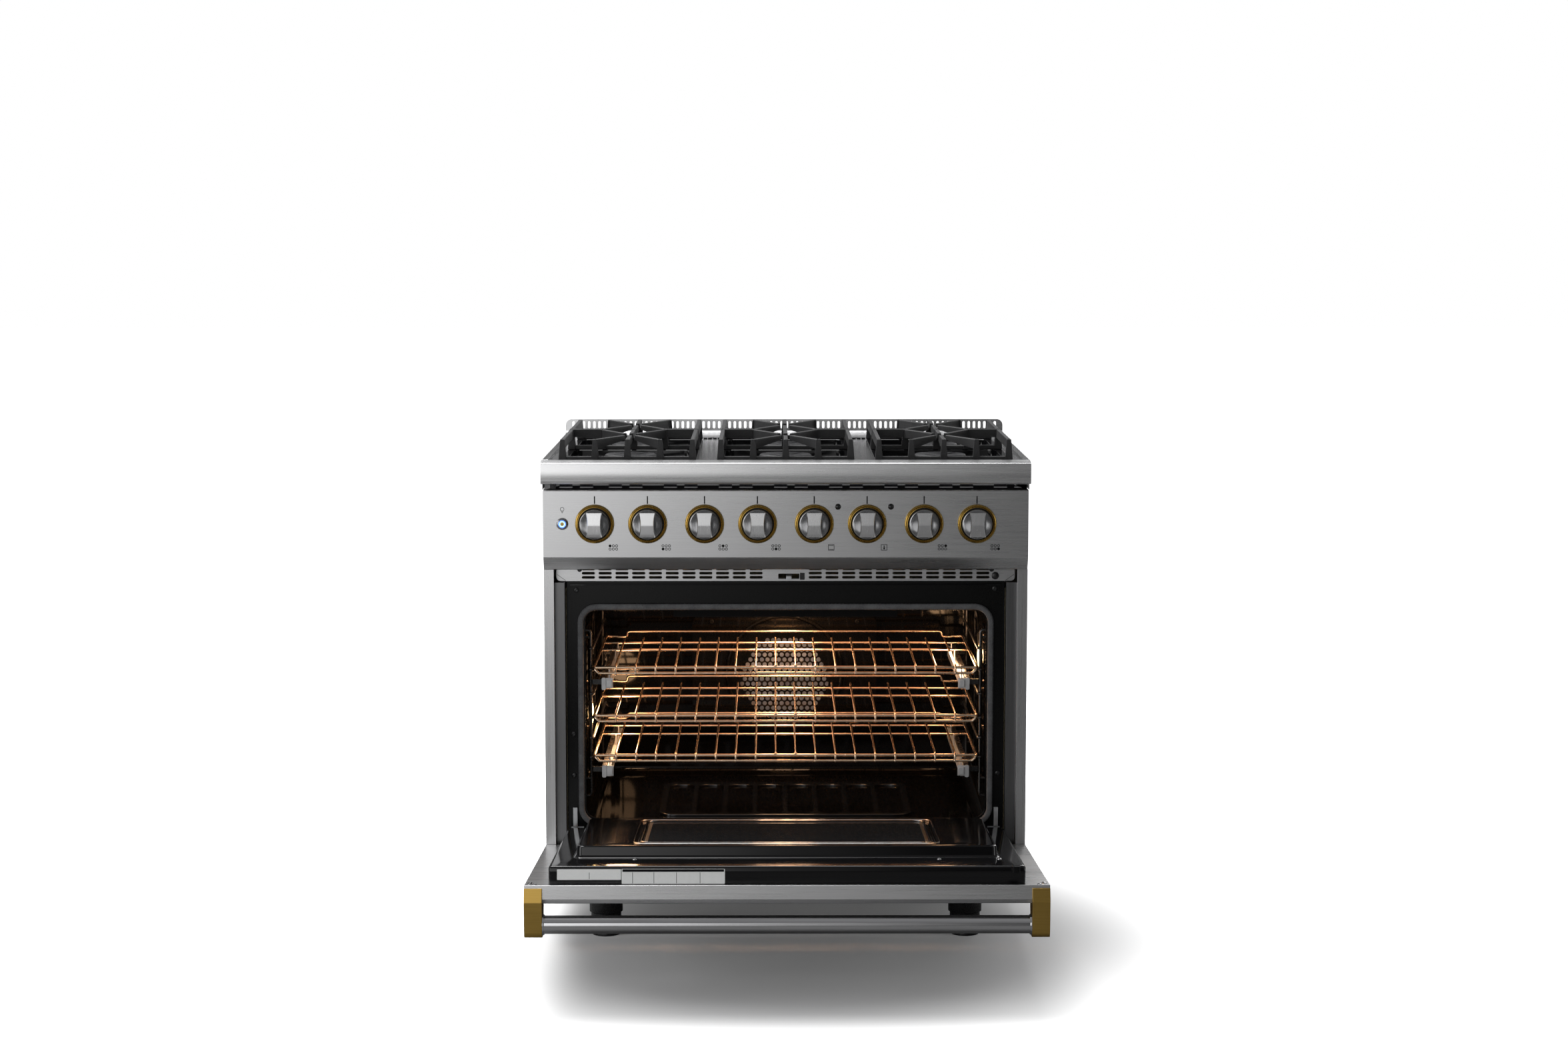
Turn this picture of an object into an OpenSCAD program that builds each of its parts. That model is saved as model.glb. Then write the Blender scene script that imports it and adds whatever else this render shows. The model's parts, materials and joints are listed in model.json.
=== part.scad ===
/* [Body] */
// Overall width of the range
body_w = 911; // [900:1:920]
// Depth of the side panels, from the wall to their front flanges
body_d = 617; // [612:1:622]
// Height of the landing ledge's top above the floor
ledge_z = 925; // [920:1:930]
// Height of the underside of the chassis above the floor
base_z = 112; // [106:1:116]

/* [Cooktop] */
// Spacing of the three burner columns
column_pitch = 297; // [292:1:300]
// Distance of the front burner row from the wall
front_row_d = 483; // [478:1:488]
// Distance of the rear burner row from the wall
rear_row_d = 217; // [212:1:222]
// Diameter of a burner cap
cap_dia = 102; // [90:1:106]
// Height of the grate tops above the floor
grate_top_z = 961; // [956:1:966]
// Width of a grate bar
grate_bar = 10; // [8:0.5:12]

/* [Control panel] */
// Height of the knob centres above the floor
knob_z = 805; // [800:1:812]
// Diameter of a knob's round body
knob_dia = 56.5; // [50:0.5:58]
// Outer diameter of a knob bezel
bezel_dia = 73; // [70:0.5:76]
// Distance that the light button travels
button_travel = 2; // [1:0.5:3]

/* [Oven] */
// Inner width of the oven cavity
cavity_w = 770; // [764:1:772]
// Inner height of the oven cavity
cavity_h = 419; // [415:1:421]
// Height of the oven floor above the room's floor
cavity_z = 222; // [220:1:223]
// Height of the top rack's wires above the floor
top_rack_z = 519; // [514:1:522]
// Height of the middle rack's wires above the floor
middle_rack_z = 426; // [420:1:430]
// Height of the bottom rack's wires above the floor
bottom_rack_z = 349; // [345:1:352]

/* [Door] */
// Angle at which the door rests on its open stop
open_angle = 85.7; // [80:0.1:88]
// Height of the door skin
door_h = 488; // [480:1:488]
// Thickness of the door skin's tray
skin_t = 33; // [30:1:34]
// Diameter of the handle bar
handle_dia = 31.8; // [28:0.1:32]

/* [Hidden] */
$fn = 48;

// Sheet gauges and clearances
sheet = 2;
panel_sheet = 1.5;
run_gap = 0.05;
half_w = body_w / 2;

// Door plane and hinge, as distances from the wall and heights
door_d = body_d + 2;
door_z = 214;
pin_back = 13.5;
pin_drop = 12.5;
hinge_d = door_d - pin_back;
hinge_z = door_z - pin_drop;
hinge_x = 398;
pin_r = 4;
pan_half_w = 414;
pan_t = 32;
pan_u0 = -8;
pan_u1 = 478;
plateau_half_w = 372;
plateau_u0 = 22;
plateau_u1 = 386;
plateau_t = 54;
window_half_w = 255;
window_u0 = 60;
window_u1 = 338;
margin_w = 55;

// Handle, in the door's own coordinates
bar_u = 472;
bar_w = -71;
bracket_u = 495;
bracket_w = -30;
bracket_width = 31;

// The wall plane's place: the origin is midway between the wall and the open door's front
open_reach = hinge_d + (pin_back - bracket_w) * cos(open_angle) + (bracket_u + pin_drop) * sin(open_angle);
back_y = open_reach / 2;

// Front of the body
frame_d = 575;
frame_t = 3;
frame_half_w = 416;
frame_top_z = 689;
mouth_half_w = 381;
mouth_z0 = 231;
mouth_z1 = 632;
strip_d = 600;
flange_w = 19;
strip_x = 417.5;
panel_d = 642;
panel_z0 = 717;
panel_z1 = 868;
panel_back_d = 590;
trim_d = 586;
trim_z0 = 690;
trim_z1 = 728;
trim_half_w = 434;
side_top_z = 914;
back_top_z = 932;

// Ledge and cooktop deck
ledge_d = 675;
ledge_back_d = 640;
ledge_z0 = 882;
deck_z = 920;
deck_front_d = 638;
deck_back_d = 78;
bowl_half_w = 118;
bowl_z = 896;
flange_top_z = deck_z + 1.5;
row_openings = [[104, 334], [366, 598]];
trim_top_z = 956;

// Knobs: burner knobs at 1 to 4 and 7, 8; oven knobs at 5 and 6
knob_x = [-357.5, -258.5, -152, -53, 53, 152, 258.5, 357.5];
burner_knob_x = [for (i = [0, 1, 2, 3, 6, 7]) knob_x[i]];
oven_knob_x = [knob_x[4], knob_x[5]];
stem_r = 4;
knob_back_d = 644.5;
button_x = -418;
button_r = 8;
lamp_hole_r = 5;

// Oven
cavity_back_d = 80;
cavity_front_d = frame_d - frame_t;
cavity_half_w = cavity_w / 2;
fan_z = 426;
fan_shaft_r = 4;
baffle_d = 118;
wall_lamps = [[-1, 373, 399], [1, 388, 515]];
roof_lamp_d = 180;
lamp_cover_r = 28;
socket_r = 14;
rack_half_w = 366;
rack_wire_r = 3;
fill_wire_r = 2;
rack_back_d = 140;
rack_front_d = 560;
rung_x = 369;
rung_r = 2.5;
post_x = 374;
ladder_ds = [150, 530];
rail_drop = 19;
rail_h = 24;

// Gas and power
manifold_d = 568;
manifold_r = 13;
riser_x = 434;
inlet_z = 185;
inlet_x = 428;
gland_x = -330;
gland_z = 172;
gland_r = 11.1;
backguard_hole_x = 400;
backguard_hole_z = 900;
backguard_hole_r = 2.1;

// Legs
leg_x = 346;
leg_ds = [550, 70];
sleeve_r = 32;
sleeve_z0 = 45;
boss_r = 20;
foot_stem_r = 12;

// Latch and door switch
latch_x = 6;
latch_pivot_d = 562;
switch_x = 397;
switch_z = 700;
switch_r = 7.2;

// Position along Y of a point at distance d in front of the wall
function fy(d) = back_y - d;
function column_x(i) = (i - 1) * column_pitch;

// Box between two X values, two distances from the wall and two heights
module slab(x0, x1, d0, d1, z0, z1) {
    translate([x0, fy(d1), z0]) cube([x1 - x0, d1 - d0, z1 - z0]);
}

// Box in the door's own coordinates: u up the door from its bottom edge, w towards the oven
module door_slab(x0, x1, u0, u1, w0, w1) {
    slab(x0, x1, door_d - w1, door_d - w0, door_z + u0, door_z + u1);
}

// Places a closed door's shape in its open pose
module in_open_pose() {
    translate([0, fy(hinge_d), hinge_z])
        rotate([open_angle, 0, 0])
            translate([0, -fy(hinge_d), -hinge_z])
                children();
}

// Cylinders along X, Y (towards the front) and Z
module rod_x(x0, x1, d, z, r) {
    translate([x0, fy(d), z]) rotate([0, 90, 0]) cylinder(h = x1 - x0, r = r);
}

module rod_y(x, d0, d1, z, r) {
    translate([x, fy(d0), z]) rotate([90, 0, 0]) cylinder(h = d1 - d0, r = r);
}

module rod_z(x, d, z0, z1, r) {
    translate([x, fy(d), z0]) cylinder(h = z1 - z0, r = r);
}

// Rectangle with round corners, drawn in XZ
module round_rect(x0, x1, z0, z1, r) {
    translate([x0 + r, z0]) square([x1 - x0 - 2 * r, z1 - z0]);
    translate([x0, z0 + r]) square([x1 - x0, z1 - z0 - 2 * r]);
    for (x = [x0 + r, x1 - r], z = [z0 + r, z1 - r])
        translate([x, z]) circle(r);
}

// Extrudes a flat XZ shape between two distances from the wall
module plate(d0, d1) {
    translate([0, fy(d0), 0]) rotate([90, 0, 0]) linear_extrude(d1 - d0) children();
}

// Extrudes a profile of [distance, height] points along X
module profile_x(x0, x1, points) {
    translate([x0, 0, 0])
        rotate([90, 0, 90])
            linear_extrude(x1 - x0)
                polygon([for (p = points) [fy(p[0]), p[1]]]);
}

// ---- Casing ----
module side_panel(side) {
    mirror([side > 0 ? 1 : 0, 0, 0]) {
        slab(-half_w, -half_w + panel_sheet, sheet, body_d, base_z, panel_z0 - 1);
        slab(-half_w, -half_w + panel_sheet, sheet, panel_back_d - 2, panel_z0 - 1, side_top_z);
        slab(-half_w, -half_w + panel_sheet, panel_back_d - 2, deck_front_d, panel_z1 + 1, side_top_z);
        slab(-half_w, -half_w + flange_w, body_d - panel_sheet, body_d, base_z, panel_z0 - 1);
        slab(-half_w + flange_w - panel_sheet, -half_w + flange_w,
             strip_d - panel_sheet, body_d, base_z, trim_z0 - 1);
        slab(-half_w + flange_w - panel_sheet, -strip_x,
             strip_d - panel_sheet, strip_d, base_z, trim_z0 - 1);
        slab(-strip_x - panel_sheet, -strip_x, frame_d + 4, strip_d, base_z, trim_z0 - 1);
    }
}

module side_panel_left() {
    color("silver") side_panel(-1);
}

module side_panel_right() {
    color("silver") side_panel(1);
}

module back_panel() {
    edge = half_w - panel_sheet - 0.1;
    color("darkgray")
    difference() {
        slab(-edge, edge, 0, sheet, base_z, back_top_z);
        rod_y(inlet_x - 20, -1, sheet + 1, inlet_z, 18);
        rod_y(gland_x, -1, sheet + 1, gland_z, gland_r);
        for (x = [-backguard_hole_x, backguard_hole_x])
            rod_y(x, -1, sheet + 1, backguard_hole_z, backguard_hole_r);
        for (x = [-300:60:300], z = [700:20:780])
            slab(x - 20, x + 20, -1, sheet + 1, z, z + 6);
    }
}

module base_frame() {
    edge = half_w - panel_sheet - 0.1;
    rail_top = base_z + 38;
    rail_front = frame_d - frame_t - 1;
    color("dimgray")
    difference() {
        union() {
            slab(-edge, edge, sheet, rail_front, base_z, base_z + sheet);
            for (s = [-1, 1])
                slab(s > 0 ? edge - 30 : -edge, s > 0 ? edge : -edge + 30,
                     sheet, rail_front, base_z, rail_top);
            slab(-edge, edge, rail_front - 30, rail_front, base_z, rail_top);
            slab(-edge, edge, sheet, sheet + 30, base_z, rail_top);
            for (x = [-leg_x, leg_x], d = leg_ds) {
                rod_z(x, d, sleeve_z0, base_z, sleeve_r);
                rod_z(x, d, base_z - 1, rail_top, boss_r);
            }
        }
        for (x = [-leg_x, leg_x], d = leg_ds)
            rod_z(x, d, sleeve_z0 - 1, rail_top + 1, foot_stem_r + run_gap);
    }
}

module front_frame() {
    color("#141414")
    plate(frame_d - frame_t, frame_d)
    difference() {
        translate([-frame_half_w, base_z])
            square([2 * frame_half_w, frame_top_z - base_z]);
        round_rect(-mouth_half_w, mouth_half_w, mouth_z0, mouth_z1, 22);
    }
}

// Profile of the control panel's outside: bevelled at the bottom
function panel_profile(t) = [
    [panel_back_d - (t > 0 ? 1 : 0), panel_z0 + t],
    [628 - t * 0.7, panel_z0 + t],
    [panel_d - t, 741 + t * 0.3],
    [panel_d - t, panel_z1 - t],
    [panel_back_d - (t > 0 ? 1 : 0), panel_z1 - t]
];

module control_panel() {
    end_x = half_w - 1.5;
    color("silver")
    difference() {
        profile_x(-end_x, end_x, panel_profile(0));
        profile_x(-end_x + sheet, end_x - sheet, panel_profile(sheet));
        for (x = knob_x)
            rod_y(x, panel_d - 10, panel_d + 1, knob_z, 10);
        rod_y(button_x, panel_d - 10, panel_d + 1, knob_z, button_r + run_gap);
    }
}

// Rounded nose of the ledge: flat top, vertical face, tucked lower edge
module ledge_outline(t) {
    d0 = ledge_back_d + t;
    d1 = ledge_d - t;
    z0 = ledge_z0 + t;
    z1 = ledge_z - t;
    r = 12 - t;
    translate([fy(d1) + r, z0]) square([d1 - d0 - r, z1 - z0]);
    translate([fy(d1), z0 + r]) square([d1 - d0, z1 - z0 - 2 * r]);
    for (z = [z0 + r, z1 - r])
        translate([fy(d1) + r, z]) circle(r);
}

module landing_ledge() {
    color("silver")
    difference() {
        translate([-half_w, 0, 0])
            rotate([90, 0, 90]) linear_extrude(body_w) ledge_outline(0);
        translate([-half_w + sheet, 0, 0])
            rotate([90, 0, 90]) linear_extrude(body_w - 2 * sheet) ledge_outline(sheet);
    }
}

module ledge_vent_strip() {
    pair_xs = [-424, -331.5, -228.5, -125.5, -22, 81, 184.5, 287.5, 389.5];
    color("#1c1c1c")
    plate(626, 630)
    difference() {
        translate([-half_w + 4, panel_z1]) square([body_w - 8, 22]);
        for (x = pair_xs, dx = [0, 38.5], z = [871.5, 876])
            translate([x + dx, z]) square([25, 2]);
    }
}

module door_vent_trim() {
    slot_pitch = 31.2;
    color("silver") {
        plate(trim_d - sheet, trim_d)
        difference() {
            translate([-trim_half_w, trim_z0]) square([2 * trim_half_w, trim_z1 - trim_z0]);
            for (s = [-1, 1], i = [0:10], z = [694.5, 702.5, 710.5])
                translate([s * (56 + i * slot_pitch) - 12.5, z]) square([25, 5]);
            translate([-14, 694]) square([40, 10]);
            translate([switch_x, switch_z]) circle(switch_r + run_gap);
        }
        slab(-14, 26, 554, trim_d - sheet, trim_z0, trim_z0 + sheet);
        rod_z(latch_x, latch_pivot_d, trim_z0, 705, 2);
    }
}

// ---- Cooktop ----
module cooktop_panel() {
    color("silver")
    difference() {
        union() {
            slab(-half_w + 4, half_w - 4, deck_back_d, deck_front_d, deck_z - sheet, deck_z);
            slab(-half_w + 4, half_w - 4, deck_front_d - sheet, deck_front_d, ledge_z0 + 8, deck_z);
            for (s = [0, 1])
                mirror([s, 0, 0])
                    slab(-half_w, -half_w + 12, deck_back_d, deck_front_d, side_top_z, ledge_z);
        }
        for (i = [0:2])
            slab(column_x(i) - bowl_half_w - 2, column_x(i) + bowl_half_w + 2,
                 96, 624, deck_z - sheet - 1, deck_z + 1);
    }
}

module burner_bowls() {
    color("#101010")
    for (i = [0:2])
        difference() {
            union() {
                slab(column_x(i) - 128, column_x(i) + 128, 86, 634, deck_z, flange_top_z);
                slab(column_x(i) - bowl_half_w, column_x(i) + bowl_half_w, 98, 622, bowl_z, deck_z);
            }
            for (d = row_openings)
                slab(column_x(i) - bowl_half_w + 2, column_x(i) + bowl_half_w - 2,
                     d[0], d[1], bowl_z + sheet, deck_z + 5);
            for (d = [front_row_d, rear_row_d])
                rod_z(column_x(i), d, bowl_z - 1, bowl_z + 3, 30);
            slab(column_x(i) - bowl_half_w + 2, column_x(i) + bowl_half_w - 2,
                 row_openings[0][1] + sheet, row_openings[1][0] - sheet, bowl_z - 1, deck_z - sheet);
            slab(column_x(i) - bowl_half_w + 2, column_x(i) + bowl_half_w - 2,
                 row_openings[1][1] + sheet, 622 - sheet, bowl_z - 1, deck_z - sheet);
        }
}

// Low slotted rear trim: a flat shelf that sweeps up into a riser
module island_trim() {
    outer_pts = [[76, 914], [76, 920], [36, 920], [7, 932], [5, 956], [2, 956], [2, 914]];
    inner_pts = [[77, 913], [77, 918], [35, 918], [4.8, 930.5], [4, 954], [1, 954], [1, 913]];
    slot_pitch = 10.85;
    slot_count = 82;
    color("silver") {
        difference() {
            profile_x(-half_w, half_w, outer_pts);
            profile_x(-half_w + sheet, half_w - sheet, inner_pts);
            plate(-1, 9)
                for (i = [0:slot_count - 1])
                    translate([(i - (slot_count - 1) / 2) * slot_pitch - 2.7, 937]) square([5.4, 15]);
        }
    }
}

module burner_bases() {
    color("#b5894a")
    for (i = [0:2], d = [front_row_d, rear_row_d]) {
        rod_z(column_x(i), d, 884, bowl_z + sheet, 28);
        rod_z(column_x(i), d, bowl_z + sheet, 911, 44);
    }
}

module burner_caps() {
    r = cap_dia / 2;
    color("#0d0d0d")
    for (i = [0:2], d = [front_row_d, rear_row_d])
        translate([column_x(i), fy(d), 911])
            rotate_extrude()
                polygon([[0, 0], [40, 0], [r - 2, 3], [r, 6], [r, 10], [r - 3, 13], [0, 10]]);
}

// One cast grate, drawn forwards from its edge at the column's middle: five feet at each
// end over low tie bars, two side rails, two short cross bars at the middle, and six
// fingers that reach in towards the burner
module grate(x, mid_d, forwards) {
    length = 262;
    post_xs = [-122, -61, 0, 61, 122];
    foot_t = 12;
    burner_v = abs(front_row_d - 352);
    bar_h = 16;
    bar_z0 = grate_top_z - bar_h;
    b = grate_bar / 2;
    finger_gap = 26;
    color("#1a1a1a")
    translate([x, fy(mid_d), 0])
        mirror([0, forwards ? 0 : 1, 0]) {
            for (px = post_xs, v = [0, length - foot_t])
                translate([px - b, -v - foot_t, flange_top_z])
                    cube([grate_bar, foot_t, grate_top_z - flange_top_z]);
            for (px = [post_xs[0], post_xs[4]])
                translate([px - b, -length, bar_z0]) cube([grate_bar, length, bar_h]);
            for (x0 = [post_xs[0], post_xs[3]])
                translate([x0, -foot_t, bar_z0]) cube([61, foot_t, bar_h]);
            for (v = [2, length - 10])
                translate([-122, -v - 8, flange_top_z]) cube([244, 8, 8]);
            for (px = [post_xs[1], post_xs[3]], v = [foot_t / 2, length - foot_t / 2]) {
                reach = norm([px, burner_v - v]) - finger_gap;
                translate([px, -v, bar_z0])
                    rotate([0, 0, atan2(v - burner_v, -px)])
                        translate([0, -b, 0]) cube([reach, grate_bar, bar_h]);
            }
            for (v = [[0, burner_v - finger_gap], [burner_v + finger_gap, length]])
                translate([-b, -v[1], bar_z0]) cube([grate_bar, v[1] - v[0], bar_h]);
        }
}

module front_grate(i) {
    grate(column_x(i), 352, true);
}

module rear_grate(i) {
    grate(column_x(i), 348, false);
}

// ---- Gas train and controls ----
module gas_manifold() {
    color("gray") {
        rod_x(-430, riser_x, manifold_d, knob_z, manifold_r);
        rod_y(riser_x, 30, manifold_d, knob_z, 9);
        rod_z(riser_x, 30, inlet_z + 22.5, knob_z, 9);
        translate([riser_x, fy(manifold_d), knob_z]) sphere(manifold_r);
        translate([riser_x, fy(30), knob_z]) sphere(9);
    }
}

module pressure_regulator() {
    color("#8c8f93")
    difference() {
        union() {
            rod_y(inlet_x - 20, 12, 46, inlet_z, 26);
            rod_y(inlet_x - 20, 0, 13, inlet_z, 14);
            rod_x(inlet_x - 20, riser_x, 30, inlet_z, 10);
            rod_z(riser_x, 30, inlet_z - 12, inlet_z + 22.4, 12);
        }
        rod_y(inlet_x - 20, -1, 16, inlet_z, 9.4);
    }
}

module gas_valves() {
    color("#c0a060")
    for (x = burner_knob_x) {
        rod_y(x, manifold_d + manifold_r + 0.3, 632, knob_z, manifold_r);
        slab(x - 9, x + 9, 590, 622, knob_z, knob_z + 30);
        rod_y(x, 631, 656, knob_z, stem_r);
    }
}

module oven_controls() {
    color("#d8d4c8")
    for (x = oven_knob_x) {
        slab(x - 25, x + 25, 592, 634, knob_z - 25, knob_z + 25);
        rod_y(x, 633, 656, knob_z, stem_r);
    }
}

module knob_bezels() {
    color("#a47c2e")
    for (x = knob_x)
        difference() {
            rod_y(x, panel_d, panel_d + 8, knob_z, bezel_dia / 2);
            rod_y(x, panel_d - 1, panel_d + 9, knob_z, bezel_dia / 2 - 6.2);
        }
}

// Round knob body with a grip bar across its face and a blind bore for the stem
module knob(x) {
    r = knob_dia / 2;
    color("lightgray")
    difference() {
        union() {
            rod_y(x, knob_back_d, 655, knob_z, r);
            intersection() {
                rod_y(x, 654, 671, knob_z, r - 0.6);
                slab(x - 13, x + 13, 654, 671, knob_z - r, knob_z + r);
            }
        }
        rod_y(x, knob_back_d - 1, 656.5, knob_z, stem_r + run_gap);
    }
}

module light_button() {
    color("white") rod_y(button_x, 626, panel_d + 6, knob_z, button_r);
}

// ---- Oven ----
module oven_cavity() {
    color("#0b0b0b")
    difference() {
        slab(-cavity_half_w - sheet, cavity_half_w + sheet, cavity_back_d - sheet, cavity_front_d,
             cavity_z - sheet, cavity_z + cavity_h + sheet);
        slab(-cavity_half_w, cavity_half_w, cavity_back_d, cavity_front_d + 1,
             cavity_z, cavity_z + cavity_h);
        rod_y(0, cavity_back_d - 5, cavity_back_d + 5, fan_z, 6);
        for (l = wall_lamps)
            rod_x(l[0] * cavity_half_w - 5, l[0] * cavity_half_w + 5, l[1], l[2], socket_r + 0.5);
        rod_z(0, roof_lamp_d, cavity_z + cavity_h - 5, cavity_z + cavity_h + 5, socket_r + 0.5);
    }
}

module oven_gasket() {
    color("#5a5c5e")
    plate(frame_d, 586.7)
    difference() {
        round_rect(-395.5, 395.5, 216, 646, 37);
        round_rect(-383.5, 383.5, 228, 634, 25);
    }
}

module fan_baffle() {
    hole_pitch = 15.6;
    hole_r = 6;
    field_r = 88;
    color("#181818") {
        plate(baffle_d - sheet, baffle_d)
        difference() {
            round_rect(-190, 190, fan_z - 108, fan_z + 134, 20);
            for (j = [-6:6], i = [-6:6]) {
                hx = (i + (abs(j) % 2) / 2) * hole_pitch;
                hz = j * hole_pitch * sin(60);
                if (norm([hx, hz]) < field_r)
                    translate([hx, fan_z + hz]) rotate(30) circle(r = hole_r, $fn = 6);
            }
        }
        for (x = [-188, 186], z = [fan_z - 80, fan_z + 90])
            slab(x, x + 2, cavity_back_d, baffle_d - sheet + 0.5, z, z + 20);
    }
}

module fan_motor() {
    color("#777777")
    difference() {
        union() {
            rod_y(0, 8, 46, fan_z, 38);
            slab(-60, 60, 40, 43, fan_z - 12, fan_z + 12);
        }
        rod_y(0, 30, 47, fan_z, fan_shaft_r + run_gap);
    }
}

module fan_blade() {
    vane_count = 8;
    color("gray") {
        rod_y(0, 32, 104, fan_z, fan_shaft_r);
        rod_y(0, 84, 104, fan_z, 10);
        rod_y(0, 86, 88, fan_z, 72);
        for (k = [0:vane_count - 1])
            translate([0, fy(88), fan_z])
                rotate([0, k * 360 / vane_count, 0])
                    translate([9, -18, -1]) cube([60, 18.5, 2]);
    }
}

module rack_ladders() {
    rung_zs = [bottom_rack_z, 387, middle_rack_z, 472, top_rack_z, 560];
    color("lightgray")
    for (s = [-1, 1]) {
        for (d = ladder_ds)
            rod_z(s * post_x, d, 262, 590, 3);
        for (z = rung_zs)
            rod_y(s * rung_x, 132, 548, z - rack_wire_r - rung_r - 0.2, rung_r);
        for (d = ladder_ds, z = [300, 575])
            rod_x(s > 0 ? post_x : -cavity_half_w, s > 0 ? cavity_half_w : -post_x, d, z, 2.5);
    }
}

// Fixed members of the two telescoping glides, on arms from the ladders
module glide_rails() {
    color("gainsboro")
    for (s = [0, 1], z = [top_rack_z, bottom_rack_z])
        mirror([s, 0, 0]) {
            slab(343.5, 352, rack_back_d, 552, z - rail_drop - rail_h, z - rail_drop);
            for (d = ladder_ds)
                slab(352, post_x - 3, d - 3, d + 3, z - 36, z - 26);
        }
}

module oven_lamps() {
    color("#ffe9b8") {
        for (l = wall_lamps) {
            rod_x(l[0] > 0 ? 379 : -cavity_half_w, l[0] > 0 ? cavity_half_w : -379, l[1], l[2], lamp_cover_r);
            rod_x(l[0] > 0 ? 384 : -412, l[0] > 0 ? 412 : -384, l[1], l[2], socket_r);
        }
        rod_z(0, roof_lamp_d, cavity_z + cavity_h - 6, cavity_z + cavity_h, lamp_cover_r);
        rod_z(0, roof_lamp_d, cavity_z + cavity_h - 1, cavity_z + cavity_h + 26, socket_r);
    }
}

// Infrared broiler under the roof and tubular bake burner below the floor
module oven_burners() {
    roof_z = cavity_z + cavity_h;
    color("#3a3a3a") {
        difference() {
            slab(-215, 215, 240, 520, roof_z - 29, roof_z);
            slab(-205, 205, 250, 510, roof_z - 30, roof_z - 10);
        }
        for (x = [-160, 160])
            rod_y(x, 140, 500, 180, 11);
        rod_x(-160, 160, 140, 180, 11);
        rod_x(-160, 160, 500, 180, 11);
    }
}

module insulation_wrap() {
    color("#cfc7a8")
    difference() {
        slab(-418, 418, 48, 570, 190, 675);
        slab(-cavity_half_w - 2.5, cavity_half_w + 2.5, cavity_back_d - 2.5, 571, 189, cavity_z + cavity_h + 2.5);
        rod_y(0, 40, 90, fan_z, 12);
        for (l = wall_lamps)
            rod_x(l[0] * 400 - 20, l[0] * 400 + 20, l[1], l[2], socket_r + 0.5);
        rod_z(0, roof_lamp_d, cavity_z + cavity_h, cavity_z + cavity_h + 40, socket_r + 0.5);
    }
}

// Frame side of each door hinge: base plate, two ears and a flip-up lock clip
module hinge_receivers() {
    color("silver")
    for (s = [0, 1])
        mirror([s, 0, 0]) {
            slab(386, 410, frame_d, frame_d + 3, 186, 215);
            for (x = [388, 404.5])
                difference() {
                    union() {
                        slab(x, x + 3.5, frame_d + 3, hinge_d, hinge_z - 8, hinge_z + 8);
                        rod_x(x, x + 3.5, hinge_d, hinge_z, 8);
                    }
                    rod_x(x - 1, x + 5, hinge_d, hinge_z, pin_r + run_gap);
                }
            slab(398, 406, frame_d, frame_d + 8, 215, 253);
        }
}

// ---- Door, modelled closed and shown open ----
module door_skin() {
    u1 = door_h;
    bevel = 8;
    outer = [
        [door_d, door_z], [door_d + skin_t - 2, door_z], [door_d + skin_t, door_z + 2],
        [door_d + skin_t, door_z + u1 - bevel], [door_d + skin_t - bevel, door_z + u1], [door_d, door_z + u1]
    ];
    inner = [
        [door_d + panel_sheet, door_z + panel_sheet],
        [door_d + skin_t - panel_sheet, door_z + panel_sheet],
        [door_d + skin_t - panel_sheet, door_z + u1 - bevel - 1],
        [door_d + skin_t - bevel - 1, door_z + u1 - panel_sheet],
        [door_d + panel_sheet, door_z + u1 - panel_sheet]
    ];
    color("silver")
    in_open_pose()
    difference() {
        profile_x(-half_w, half_w, outer);
        profile_x(-half_w + panel_sheet, half_w - panel_sheet, inner);
        door_slab(-half_w + margin_w, half_w - margin_w, 14, u1 - 22, -panel_sheet - 1, 1);
        door_slab(-260, 260, 95, 335, -skin_t - 1, -skin_t + panel_sheet + 1);
    }
}

// Porcelain inner pan with its raised plateau and window opening
module door_liner() {
    t = sheet;
    color("#0e0e0e")
    in_open_pose()
    difference() {
        union() {
            door_slab(-pan_half_w, pan_half_w, pan_u0, pan_u1, 0, pan_t);
            door_slab(-plateau_half_w, plateau_half_w, plateau_u0, plateau_u1, pan_t - 1, plateau_t);
            door_slab(switch_x - 7, switch_x + 7, pan_u1 - 1, pan_u1 + 8, pan_t - 12, pan_t);
        }
        door_slab(-pan_half_w + t, pan_half_w - t, pan_u0 + t, pan_u1 - t, -1, pan_t - t);
        door_slab(-plateau_half_w + t, plateau_half_w - t, plateau_u0 + t, plateau_u1 - t,
                  pan_t - t - 1, plateau_t - t);
        door_slab(-window_half_w, window_half_w, window_u0, window_u1, plateau_t - t - 1, plateau_t + 1);
        for (s = [-1, 1])
            door_slab(s * hinge_x - 14, s * hinge_x + 14, pan_u0 - 1, 14, -1, pan_t + 1);
    }
}

// Outer, middle and inner panes of the door window
module door_glass() {
    color("#22282a", 0.6)
    in_open_pose() {
        door_slab(-275, 275, 82, 348, -skin_t + panel_sheet + 0.1, -skin_t + 6);
        door_slab(-285, 285, 50, 350, 4, 8);
        door_slab(-264, 264, 52, 346, plateau_t - sheet - 4.1, plateau_t - sheet - 0.1);
    }
}

module handle_bar() {
    color("silver")
    in_open_pose()
        rod_x(-half_w + bracket_width, half_w - bracket_width, door_d - bar_w, door_z + bar_u, handle_dia / 2);
}

// End brackets that wrap the door's top corners and carry the bar
module handle_brackets() {
    outline = [
        [door_h + 0.1, 0], [bracket_u, 0], [bracket_u, bracket_w], [488, -84], [481, -92],
        [463, -92], [454, -84], [446, -skin_t - 0.1], [door_h + 0.1, -skin_t - 0.1]
    ];
    color("#a47c2e")
    in_open_pose()
    for (x = [-half_w, half_w - bracket_width])
        profile_x(x, x + bracket_width, [for (p = outline) [door_d - p[1], door_z + p[0]]]);
}

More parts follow.
